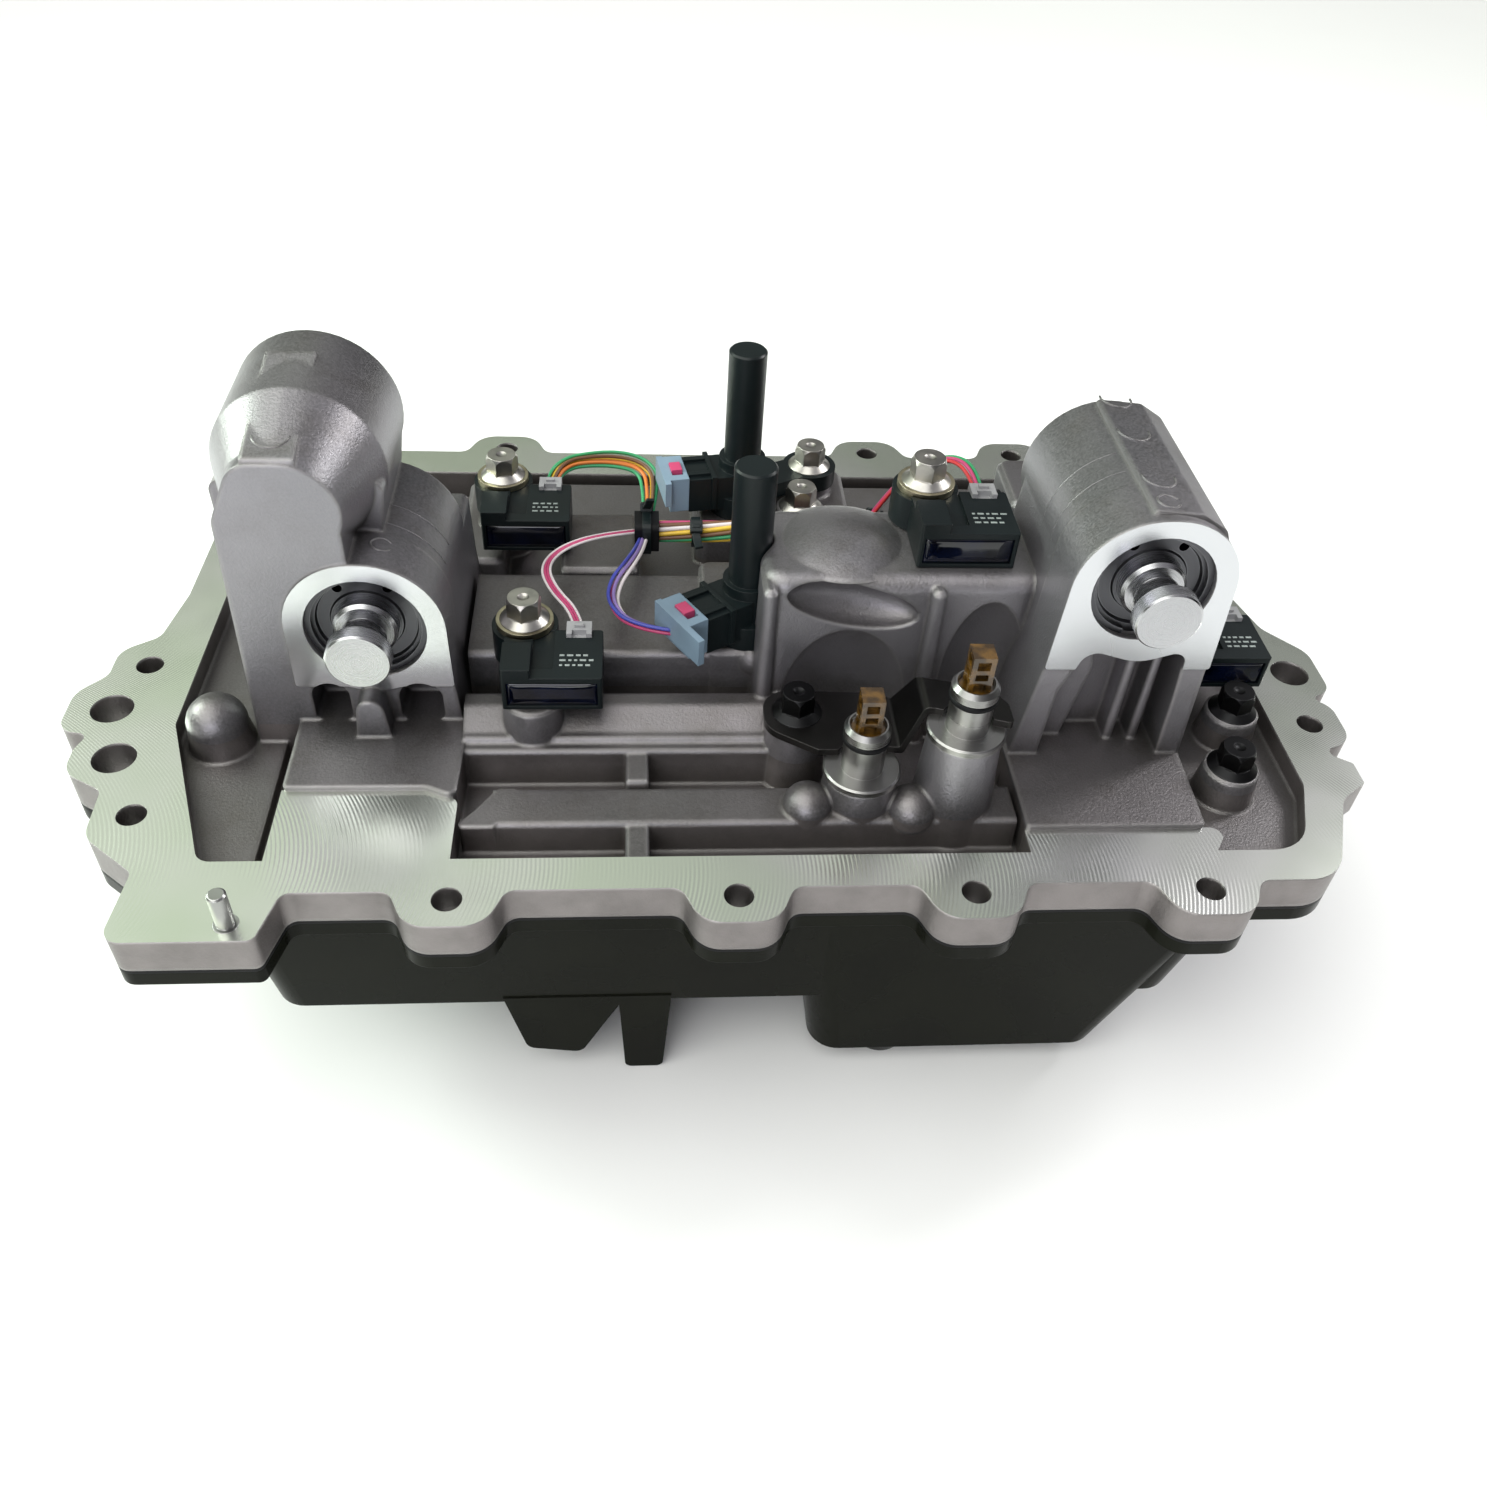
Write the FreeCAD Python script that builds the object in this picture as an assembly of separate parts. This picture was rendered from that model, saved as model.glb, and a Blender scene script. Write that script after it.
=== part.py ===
import FreeCAD, Part
import math
import os

os.makedirs("parts", exist_ok=True)
V = FreeCAD.Vector
X_AXIS = V(1, 0, 0)
Y_AXIS = V(0, 1, 0)
Z_AXIS = V(0, 0, 1)

# Driving sizes, in millimetres.
# The layout is measured from the front bolt row's second hole, on the machined flange face:
# X to the right, Y away from the front, Z up. The finished pieces are moved at the end, so
# that the origin is the centre of the four corner bolts of the flange.

# Flange of the cast housing
FLANGE_T = 10.0
BOLT_HOLE_R = 3.5
DOWEL_HOLE_R = 5.3
CORNER_BOLT_X = (-65.5, 55.0)
BOLT_ROW_SPAN = 193.0
MIDDLE_BOLT_X = 0.0
END_BOLT_X = 111.0
LOBE_REACH = 7.6
FRONT_EDGE_Y = 2.5
REAR_EDGE_GAP = 2.5
POCKET_FLOOR_Z = -10.0
FLOOR_T = 5.0
SHELF_Z = -6.0
CAST_RAISE = 1.5
# room from the rear bolt row forward to the well, the cover's pan and the shelf
WELL_REAR_GAP = 15.0
PAN_REAR_GAP = 6.0
# left, right and front faces of the well and its wall
WELL_LEFT = -112.0
WELL_RIGHT = 119.0
WELL_FRONT = 12.0
WELL_WALL = 2.4

# Shift cylinders: axis X, axis Z, front face Y, length of the cylinder
CYLINDER_R = 18.7
BORE_R = 14.4
RIGHT_AXIS = (95.4, 53.6)
RIGHT_FACE_Y = 44.0
RIGHT_LENGTH = 58.0
LEFT_AXIS = (-87.3, 30.5)
LEFT_FACE_Y = 57.5
LEFT_LENGTH = 50.0
REAR_AXIS = (-100.5, 62.5)
REAR_BARREL_R = 20.0
REAR_FACE_Y = 106.0
WEB_FACE_Y = 58.0
WEB_TOP_Z = 75.0
WEB_R = 12.5
CONE_L = 20.0
BORE_DEPTH = 36.0

# Shift pistons and their guides
TRAVEL_OUT = 8.0
TRAVEL_IN = 6.0
ROD_R = 7.6
SHOULDER_R = 5.4
NECK_R = 3.6
HEAD_R = 7.6
HEAD_T = 4.0
HEAD_REACH = 12.0
GUIDE_T = 6.0
GUIDE_RECESS = 3.2
GUIDE_LEDGE = 0.8
RUN_GAP = 0.05
SEAT_GAP = 0.05
RING_T = 1.4
RING_W = 2.4
RING_GROOVE = 1.0
PISTON_T = 9.0
SEAL_T = 2.6
SEAL_DEPTH = 2.0

# Plug of a position sensor: size, height above the sensor's seat, and how far it stands out
PLUG_W = 6.4
PLUG_D = 5.2
PLUG_H = 7.6
PLUG_LOW = 3.4
PLUG_SIDE = 15.4
PLUG_OUT = 2.2

# Position sensors
SENSOR_W = 24.6
SENSOR_D = 19.0
SENSOR_H = 9.8
SENSOR_STEP_W = 7.2
SENSOR_STEP_D = 11.0
SENSOR_STEP_H = 12.4
SENSOR_EAR_R = 8.4
SENSOR_EAR_H = 9.0
SENSOR_BOLT_BACK = 22.8
SENSOR_BOLT_SIDE = 4.7
# front left bottom corner of each sensor: X, Y, Z
SENSOR_PLACES = ((-66.3, 119.0, 11.0), (-56.0, 51.2, 11.0), (46.0, 69.5, 41.5), (121.0, 66.5, 5.0))

# Flange bolts, metric size 6
HEX_AF = 8.0
HEX_H = 5.0
BOLT_FLANGE_R = 6.4
BOLT_FLANGE_T = 1.6
SHANK_R = 3.0
SHANK_GAP = 0.3
WASHER_R = 7.3
WASHER_T = 1.8
BOLT_DEPTH = 9.0

# Speed sensors: post X, post Y, foot Z
POST_R = 5.35
POST_TOP_Z = 62.0
SPEED_PLACES = ((6.0, 82.0, 12.0), (8.0, 142.0, 12.0))
SPEED_EAR_H = 5.0
SPEED_EAR_R = 8.0
# ear X, Y and top Z of the front and the rear speed sensor
SPEED_EARS = ((23.5, 108.0, 19.0), (29.5, 152.5, 20.0))
SPEED_TURNS = (212.0, 190.0)
SOCKET_RISE = 3.5
SOCKET_L = 17.0
SOCKET_W = 13.0
SOCKET_H = 10.5
SOCKET_WALL = 1.5
SOCKET_MOUTH = 3.0
SPEED_PLUG_L = 5.5
PLUG_RISE = 0.6
# lock strip on the plug: thickness, height, reach behind, and reach ahead on each sensor
STRIP_T = 1.8
STRIP_H = 7.5
STRIP_BACK = 7.0
STRIP_AHEAD = (13.0, 8.5)
LATCH_TRAVEL = 1.6
LATCH_INSET = 1.2
LATCH_L = 3.2
LATCH_HALF = 2.2

# Oil nozzles: X, Y, seat Z
NOZZLE_R = 5.2
NOZZLE_RING_R = 5.7
NOZZLE_DISC_R = 9.5
NOZZLE_DISC_T = 1.8
NOZZLE_H = 15.5
NOZZLE_BORE_R = 4.1
NOZZLE_PLACES = ((31.5, 33.0, 7.0), (55.0, 32.5, 20.5))
NOZZLE_SPIGOT = 6.0
FILTER_SEAT = 2.2
SEAL_DROP = 5.4
ORING_R = 0.95
ORING_CENTRE_R = 4.95
PLATE_T = 2.0
PLATE_BOLT = (17.0, 50.5)

# Rounded block in the middle: its left and right faces and its front face
DOME_X = (7.0, 80.0)
DOME_FRONT_Y = 63.0
CROWN_H = 3.0
SENSOR_SEAT_DROP = 0.3

# Bolts of the harness clamp, the right-hand pads and the dowel pin: X, Y, seat Z
CLAMP_BOLT = (25.5, 136.0, 16.0)
PAD_BOLTS = ((135.5, 59.0, 3.5), (128.0, 37.5, 3.5))
DOWEL_PIN = (-112.0, -6.0)
DOWEL_R = 2.1
DOWEL_H = 10.0
DOWEL_FOOT_R = 2.8
DOWEL_FOOT_DEPTH = 6.0
DOWEL_RELIEF = 0.6
DOWEL_TIP = 0.4

# Harness: bundle and wire sizes
TRUNK_R = 3.2
LEAD_R = 1.4
CONDUIT_R = 3.6
# how far a cord's end runs into a wrap or a plug
CORD_SINK = 1.0
# wrap where the leads join, and the one where the conduit starts: centre X, Y, Z
JOIN_WRAP = (-20.0, 124.0, 14.5)
END_WRAP = (45.5, 125.2, 14.7)
WRAP_HALF = 4.6
WRAP_L = 7.0
# left face of the duct on the rear deck, and the Y and Z at which the conduit enters it
DUCT_X = 84.0
CONDUIT_END = (131.0, 16.0)
GROMMET_R = 6.0
GROMMET_FLANGE_R = 8.0
GROMMET_FLANGE_T = 2.5
GROMMET_SLEEVE = 6.0

# Oil cover
GASKET_T = 1.0
RIM_T = 4.0
COVER_WALL = 3.0
SHALLOW_Z = -49.0
DEEP_Z = -72.0
FOOT_Z = -79.0
COVER_FRONT_Y = 5.0
PAN_LEFT = -119.0
PAN_RIGHT = 126.0
COVER_SCREWS = ((-122.0, -3.5), (-142.5, 118.0), (-127.0, BOLT_ROW_SPAN - 11.0), (150.6, 112.0),
                (150.6, BOLT_ROW_SPAN - 33.0), (148.0, 22.0))
COVER_SCREW_R = 2.0
COVER_SCREW_HEAD_R = 3.8

# Hydraulic parts under the casting
SEPARATOR_T = 1.0
VALVE_BLOCK_Z = -38.0
BLOCK_FRONT_GAP = 12.0
BLOCK_REAR_GAP = 10.0
BLOCK_BORE_X = -88.0
BLOCK_BORE_STEP = 18.0
BOARD_T = 1.6
BOARD_GAP = 2.0
SOLENOID_R = 8.5
SOLENOID_PLACES = ((44.0, 50.0), (44.0, 92.0), (82.0, 50.0), (82.0, 92.0))
CONNECTOR_PLACE = (-62.0, BOLT_ROW_SPAN - 45.0)
CONNECTOR_R = 15.0


def rounded_wire(corners, place):
    """Closed wire through flat corners (a, b, radius); place(a, b) gives the point in space."""
    count = len(corners)
    starts = []
    ends = []
    middles = []
    for i in range(count):
        ax, ay = corners[i - 1][0], corners[i - 1][1]
        bx, by, radius = corners[i]
        cx, cy = corners[(i + 1) % count][0], corners[(i + 1) % count][1]
        back = V(ax - bx, ay - by, 0)
        ahead = V(cx - bx, cy - by, 0)
        room = 0.499 * min(back.Length, ahead.Length)
        back.normalize()
        ahead.normalize()
        turn = math.pi - math.acos(max(-1.0, min(1.0, back.dot(ahead))))
        if radius <= 0 or turn < 0.02:
            starts.append((bx, by))
            ends.append((bx, by))
            middles.append(None)
            continue
        reach = min(radius * math.tan(turn / 2), room)
        true_radius = reach / math.tan(turn / 2)
        bisector = back + ahead
        bisector.normalize()
        depth = true_radius / math.cos(turn / 2) - true_radius
        starts.append((bx + back.x * reach, by + back.y * reach))
        ends.append((bx + ahead.x * reach, by + ahead.y * reach))
        middles.append((bx + bisector.x * depth, by + bisector.y * depth))
    edges = []
    for i in range(count):
        if middles[i] is not None:
            arc = Part.Arc(place(*starts[i]), place(*middles[i]), place(*ends[i]))
            edges.append(arc.toShape())
        a = place(*ends[i])
        b = place(*starts[(i + 1) % count])
        if a.distanceToPoint(b) > 1e-4:
            edges.append(Part.LineSegment(a, b).toShape())
    return Part.Wire(edges)


def plate(corners, z0, z1):
    """Flat piece between two heights, its outline seen from above."""
    wire = rounded_wire(corners, lambda a, b: V(a, b, z0))
    return Part.Face(wire).extrude(V(0, 0, z1 - z0))


def bar_x(corners, x0, x1):
    """Piece of one section along X; the section's corners are (y, z, radius)."""
    wire = rounded_wire(corners, lambda a, b: V(x0, a, b))
    return Part.Face(wire).extrude(V(x1 - x0, 0, 0))


def bar_y(corners, y0, y1):
    """Piece of one section along Y; the section's corners are (x, z, radius)."""
    wire = rounded_wire(corners, lambda a, b: V(a, y0, b))
    return Part.Face(wire).extrude(V(0, y1 - y0, 0))


def box(x0, x1, y0, y1, z0, z1):
    return Part.makeBox(x1 - x0, y1 - y0, z1 - z0, V(x0, y0, z0))


def post(radius, x, y, z0, z1):
    return Part.makeCylinder(radius, z1 - z0, V(x, y, z0), Z_AXIS)


def rod_y(radius, x, z, y0, y1):
    return Part.makeCylinder(radius, y1 - y0, V(x, y0, z), Y_AXIS)


def boss(radius, x, y, z0, z1, draft=1.2):
    """Round cast boss, a little wider at its foot, with a bevelled top edge."""
    bevel = 0.6
    cone = Part.makeCone(radius + draft, radius, z1 - z0 - bevel, V(x, y, z0), Z_AXIS)
    cap = Part.makeCone(radius, radius - bevel, bevel, V(x, y, z1 - bevel), Z_AXIS)
    return cone.fuse(cap)


def soft_block(x0, x1, y0, y1, z0, z1, corner, draft, top_edge, bevelled=True):
    """Cast block with rounded upright corners, drafted sides and a bevelled or rounded top."""
    def ring(inset, z):
        r = max(corner - inset, 0.5)
        c = ((x0 + inset, y0 + inset, r), (x1 - inset, y0 + inset, r),
             (x1 - inset, y1 - inset, r), (x0 + inset, y1 - inset, r))
        return rounded_wire(c, lambda a, b: V(a, b, z))
    block = Part.makeLoft([ring(0, z0), ring(draft, z1)], True, True)
    top = [e for e in block.Edges if e.BoundBox.ZMin > z1 - 1e-3]
    return block.makeChamfer(top_edge, top) if bevelled else block.makeFillet(top_edge, top)


def fuse(shapes):
    first = shapes[0]
    return first.fuse(shapes[1:])


def fuse_in_turn(groups):
    """Join the groups one after another: each is fused in itself, then to what stands."""
    body = fuse(groups[0])
    for group in groups[1:]:
        body = body.fuse(fuse(group))
    return body


def hex_prism(across_flats, x, y, z0, z1, turn=0.0):
    corner = across_flats / math.sqrt(3)
    points = []
    for i in range(7):
        a = math.radians(turn + 60 * i)
        points.append(V(x + corner * math.cos(a), y + corner * math.sin(a), z0))
    return Part.Face(Part.makePolygon(points)).extrude(V(0, 0, z1 - z0))


# Flange

def lobe(x, edge_y, side):
    """Corners of a bolt lobe on the front (side -1) or rear (side 1) edge, left to right."""
    tip = edge_y + side * (LOBE_REACH + FRONT_EDGE_Y)
    left = [(x - 13, edge_y, 4), (x - 8.6, tip, 7.5)]
    right = [(x + 8.6, tip, 7.5), (x + 13, edge_y, 4)]
    return left + right


def flange_corners():
    rear_y = BOLT_ROW_SPAN - REAR_EDGE_GAP
    front = [(-137.5, -10.7, 4), (-105.5, -10.7, 2), (-102.0, FRONT_EDGE_Y, 3)]
    for x in (CORNER_BOLT_X[0], MIDDLE_BOLT_X, CORNER_BOLT_X[1], END_BOLT_X):
        front += lobe(x, FRONT_EDGE_Y, -1)
    right = [(144, FRONT_EDGE_Y, 12), (155.5, 29, 8), (163.4, 34.4, 1), (163.4, 41.7, 1),
             (156, 46.5, 2), (166.5, 49.5, 7), (166.5, 64, 6), (161.5, 67.5, 3),
             (168.8, 70, 7), (168.8, 87, 8), (159, 98, 8), (154, 118, 10), (154, rear_y - 20.5, 18),
             (136, rear_y, 12)]
    rear = []
    for x in (END_BOLT_X - 6, CORNER_BOLT_X[1], CORNER_BOLT_X[0]):
        rear += list(reversed(lobe(x, rear_y, 1)))
    left = [(-128, rear_y, 14), (-147, rear_y - 22.5, 14), (-148, 112, 8), (-151, 93, 5), (-160, 87, 7),
            (-160, 77, 5), (-166.5, 70, 8), (-166.5, 56, 8), (-158.5, 54.5, 2), (-160.5, 49, 5),
            (-160.5, 41, 7), (-150, 35, 3), (-149.5, 20, 7), (-136, 9, 3)]
    return front + right + rear + left


FLANGE_HOLES = (
    [(x, 0.0, BOLT_HOLE_R) for x in (CORNER_BOLT_X[0], MIDDLE_BOLT_X, CORNER_BOLT_X[1], END_BOLT_X)]
    + [(x, BOLT_ROW_SPAN, BOLT_HOLE_R) for x in (CORNER_BOLT_X[0], CORNER_BOLT_X[1], END_BOLT_X - 6)]
    + [(-150.7, 81.2, BOLT_HOLE_R), (-140.7, 26.8, BOLT_HOLE_R), (157.6, 56.9, BOLT_HOLE_R)]
    + [(-155.5, 64.0, DOWEL_HOLE_R), (-150.0, 46.0, DOWEL_HOLE_R), (160.0, 78.0, DOWEL_HOLE_R)])


# the deep part of the pocket lies within the opening of the oil cover
WELL = (WELL_LEFT, WELL_RIGHT, WELL_FRONT, BOLT_ROW_SPAN - WELL_REAR_GAP)
UNDERSIDE_Z = POCKET_FLOOR_Z - FLOOR_T


def flange():
    """Bolting flange, the shelf round the inside and the deep well with its floor."""
    body = plate(flange_corners(), -FLANGE_T, 0)
    x0, x1, y0, y1 = WELL
    shelf = [(-122.5, y0, 4), (139, y0, 12), (147, 34, 8), (147, y1, 8), (-137, y1, 8), (-138.5, 58, 4)]
    well = [(x0, y0, 5), (x1, y0, 5), (x1, y1, 5), (x0, y1, 5)]
    w = WELL_WALL
    outside = [(x0 - w, y0 - w, 5), (x1 + w, y0 - w, 5), (x1 + w, y1 + w, 5), (x0 - w, y1 + w, 5)]
    body = body.cut([plate(shelf, SHELF_Z, 1), plate(well, -FLANGE_T - 1, 1)])
    tub = plate(outside, POCKET_FLOOR_Z - FLOOR_T, SHELF_Z - 2)
    tub = tub.cut(plate(well, POCKET_FLOOR_Z, 1))
    return fuse([body, tub])


def foot_z(x):
    """Where a boss starts: in the floor of the well, or in the shelf beside it."""
    inside = WELL[0] + 6 < x < WELL[1] - 6
    return POCKET_FLOOR_Z - 1 if inside else SHELF_Z - 3


def terraces():
    """The stepped channels that run left to right behind the front flange strip."""
    low = POCKET_FLOOR_Z - 1
    first = bar_x([(22.5, low, 0), (23.4, -1, 1.2), (35.5, -1, 1.2), (37.5, low, 0)], -58, 70)
    slant = plate([(-66.5, 22.8, 1), (-57, 22.8, 0), (-50, 35.5, 3), (-57, 35.5, 2), (-62, 28, 2)], low, -1)
    second = bar_x([(45.8, low, 0), (46.5, 1, 1), (49.4, 1, 0.4), (50.2, 2.2, 0.6), (52, 2.4, 1),
                    (58.5, 6, 3), (63.5, 6, 1.5), (66, low, 0)], -66.5, 17)
    step_z = SENSOR_PLACES[1][2]
    upper = bar_x([(72.4, low, 0), (73, step_z, 1.5), (108, step_z, 2), (114, low, 0)], -66.5, 20)
    ribs = []
    for y0, y1, top in ((12, 24, -1.6), (36, 47, 0.2)):
        ribs.append(soft_block(-26, -20, y0, y1, low, top, 0.8, 0.2, 0.6))
    steps = [first, slant, second, upper] + ribs
    return steps


def slabs():
    """Machined pads and the as-cast slabs in front of the two towers."""
    low = POCKET_FLOOR_Z - 1
    left_pad = plate([(-108, 11, 0), (-66, 11, 0), (-66, 31, 3), (-74, 34.5, 3), (-108, 34.5, 0)], low, 0)
    left_slab = plate([(-107.5, 34, 1), (-74, 34, 2), (-66.5, 30.5, 2), (-65.5, 62, 1), (-107.5, 62, 1)],
                      low, CAST_RAISE)
    right_pad = plate([(70.7, 11, 1), (116, 11, 0), (122, 19.5, 4), (70.7, 19.5, 0)], low, 0)
    right_slab = plate([(71, 19, 0.5), (115.5, 19, 1), (117, 60, 1), (71, 60, 1)], low, CAST_RAISE)
    return [left_pad, left_slab, right_pad, right_slab]


def arch_corners(axis, radius, half_foot, foot_z):
    """Upright arch outline round a cylinder axis, straight legs down to foot_z."""
    x, z = axis
    return [(x - half_foot, foot_z, 0.8), (x - radius, z + radius, radius),
            (x + radius, z + radius, radius), (x + half_foot, foot_z, 0.8)]


def cylinder_barrel(axis, radius, y0, y1, end_round):
    """A cast cylinder along Y; the far end is coned."""
    barrel = rod_y(radius, axis[0], axis[1], y0, y1)
    far = [e for e in barrel.Edges if e.BoundBox.YMin > y1 - 1e-3]
    return barrel.makeChamfer(end_round, far)


def right_tower():
    x, z = RIGHT_AXIS
    y0 = RIGHT_FACE_Y
    barrel = cylinder_barrel(RIGHT_AXIS, CYLINDER_R, y0, y0 + RIGHT_LENGTH, 4)
    low = POCKET_FLOOR_Z
    arch = bar_y(arch_corners(RIGHT_AXIS, CYLINDER_R, 20.5, 30), y0, y0 + 16)
    legs = bar_y([(x - 25, low, 0), (x - 20.5, 30, 2), (x - 18.6, z, 2), (x + 18.6, z, 2),
                  (x + 20.0, 30, 2), (x + 21.5, low, 0)], y0 + 0.6, y0 + 50)
    recess = bar_y([(x - 17, low - 1, 0), (x - 15.5, 22, 3), (x - 11, 36, 4), (x + 2, 32, 12),
                    (x + 13.5, 36, 3), (x + 14.5, 20, 3), (x + 15.5, low - 1, 0)], y0 - 1, y0 + 13)
    front = fuse([arch, legs]).cut(recess)
    cheek = bar_y([(x - 17.5, CAST_RAISE - 1, 0), (x - 16.5, 34, 2), (x - 8, 36, 4), (x - 5, 24, 8),
                   (x - 9, CAST_RAISE - 1, 0)], y0 + 8, y0 + 14)
    ribs = [soft_block(x + d, x + d + 2.6, y0 + 6, y0 + 14, low, 36, 1, 0.2, 0.6) for d in (2.5, 9)]
    band = bar_y([(x - 4, z + 8, 0), (x - 4, z + CYLINDER_R + 0.8, 0.8), (x + 7.5, z + CYLINDER_R - 0.2, 3),
                  (x + 14, z + 14.6, 3), (x + 16.8, z + 8, 0)], y0 + 3, y0 + RIGHT_LENGTH - 5)
    return [barrel, front, cheek, band] + ribs


def left_tower():
    x, z = LEFT_AXIS
    y0 = LEFT_FACE_Y
    low = POCKET_FLOOR_Z
    barrel = cylinder_barrel(LEFT_AXIS, CYLINDER_R, y0, y0 + LEFT_LENGTH, 4)
    arch = bar_y(arch_corners(LEFT_AXIS, CYLINDER_R, 19.2, 13), y0, y0 + 14)
    legs = bar_y([(x - 20, low, 0), (x - 19.2, 13, 1), (x - 18.6, z, 2), (x + 18.6, z, 2),
                  (x + 19.2, 13, 1), (x + 21, low, 0)], y0 + 0.6, y0 + 60)
    front = fuse([arch, legs])
    saddle = bar_y([(x - 6.5, low, 0), (x - 4, 13, 4), (x + 2, 13, 4), (x + 4.5, low, 0)], y0 - 6, y0 + 4)
    return [barrel, front, saddle]


def left_mouths():
    """Two arched pockets in the foot of the left tower, cut once the towers are joined."""
    x = LEFT_AXIS[0]
    y0 = LEFT_FACE_Y
    mouths = []
    for centre, half in ((x - 11.5, 4.6), (x + 10.5, 5.4)):
        mouths.append(bar_y([(centre - half, CAST_RAISE, 1.5), (centre - half, 14, half),
                             (centre + half, 14, half), (centre + half, CAST_RAISE, 1.5)], y0 - 1, y0 + 12))
    return mouths


def rear_tower():
    """The upper left cylinder, which opens to the rear, with its cone and smooth front web."""
    x, z = REAR_AXIS
    y0 = WEB_FACE_Y
    y1 = REAR_FACE_Y
    r = REAR_BARREL_R
    low = POCKET_FLOOR_Z
    barrel = rod_y(r, x, z, y0 + CONE_L, y1)
    cone = Part.makeCone(WEB_R, r, CONE_L, V(x, y0, z), Y_AXIS)
    web = bar_y([(x - 18.5, low, 0), (x - 16, z - 2, 8), (x - 9.5, WEB_TOP_Z, 7), (x + 1.5, WEB_TOP_Z, 6),
                 (x + 8.2, z + 5.2, 6), (x + 11.6, z - 4, 6), (x + 11.6, z - 16, 0), (x, z - 30, 0),
                 (x, low, 0)], y0, y0 + 16)
    skirt = bar_y([(x - 19, low, 0), (x - r + 0.4, 40, 6), (x - r + 0.2, z, 3), (x + r - 0.2, z, 3),
                   (x + 16, 36, 6), (x + 16, low, 0)], y0 + 14, y1)
    slope = [(y0 + 0.6, z), (y0 + 0.6, WEB_TOP_Z + 1), (y0 + 36, z + r + 0.6), (y0 + 36, z)]
    side = Part.Face(Part.makePolygon([V(x - 7, a, b) for a, b in slope + [slope[0]]]))
    strip = side.extrude(V(11.5, 0, 0))
    return [barrel, cone, web, skirt, strip]


def turned(profile, axis, face_y, side):
    """Turned piece on a cylinder axis; the profile is (depth into the housing, radius)."""
    points = [V(axis[0], face_y + side * s, axis[1] + r) for s, r in profile]
    face = Part.Face(Part.makePolygon(points + [points[0]]))
    return face.revolve(V(axis[0], 0, axis[1]), Y_AXIS, 360)


# axis, mouth Y and inward direction of the three shift cylinders, by name
CYLINDERS = (("left", LEFT_AXIS, LEFT_FACE_Y, 1), ("right", RIGHT_AXIS, RIGHT_FACE_Y, 1),
             ("rear", REAR_AXIS, REAR_FACE_Y, -1))
GUIDE_BACK = GUIDE_RECESS + GUIDE_T
PISTON_BORE_R = BORE_R - GUIDE_LEDGE


def bore_cuts():
    """Stepped cylinder bores with the groove of the retaining ring."""
    cuts = []
    for name, axis, face, side in CYLINDERS:
        groove = GUIDE_RECESS - RING_T
        cuts.append(turned([(-1, 0), (-1, BORE_R), (groove, BORE_R), (groove, BORE_R + RING_GROOVE),
                            (GUIDE_RECESS, BORE_R + RING_GROOVE), (GUIDE_RECESS, BORE_R),
                            (GUIDE_BACK, BORE_R), (GUIDE_BACK, PISTON_BORE_R),
                            (BORE_DEPTH, PISTON_BORE_R), (BORE_DEPTH + 4, 0)], axis, face, side))
    return cuts


def hollow(place, half_sizes, tilt=0.0):
    """Ellipsoid that is cut out of the casting, tilted about Y."""
    stretch = FreeCAD.Matrix()
    stretch.scale(*half_sizes)
    shape = Part.makeSphere(1.0).transformGeometry(stretch)
    shape.rotate(V(0, 0, 0), Y_AXIS, tilt)
    shape.translate(V(*place))
    return shape


def dome_block():
    """The rounded box in the middle that carries the third position sensor."""
    low = POCKET_FLOOR_Z
    top = SENSOR_PLACES[2][2] - SENSOR_SEAT_DROP
    x0, x1 = DOME_X
    y0 = DOME_FRONT_Y
    main = soft_block(x0, x1, y0, y0 + 35, low, top, 7, 1.2, 4, bevelled=False)
    main = main.cut([hollow((30.5, y0 + 1.4, 33.5), (17, 6, 6), 11),
                     hollow((30.5, y0 - 1.6, 4), (17, 6.5, 24)),
                     hollow((66, y0 - 1.6, 10), (11.5, 7, 27))])
    crown_r = 40
    crown = Part.makeSphere(crown_r, V(29, y0 + 18.5, top + CROWN_H - crown_r))
    crown = crown.common(box(x0, x1, y0, y0 + 35, top - 1, top + 10))
    shoulder = soft_block(66, 80, 60, 112, low, 26, 5, 2, 4)
    ribs = []
    for x, height in ((x0 + 0.3, 39.5), (49, 39.5)):
        ribs.append(soft_block(x, x + 4.6, y0 - 2.4, y0 + 12, low, height, 2.2, 0.5, 1))
    return [main, crown, shoulder] + ribs


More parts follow.
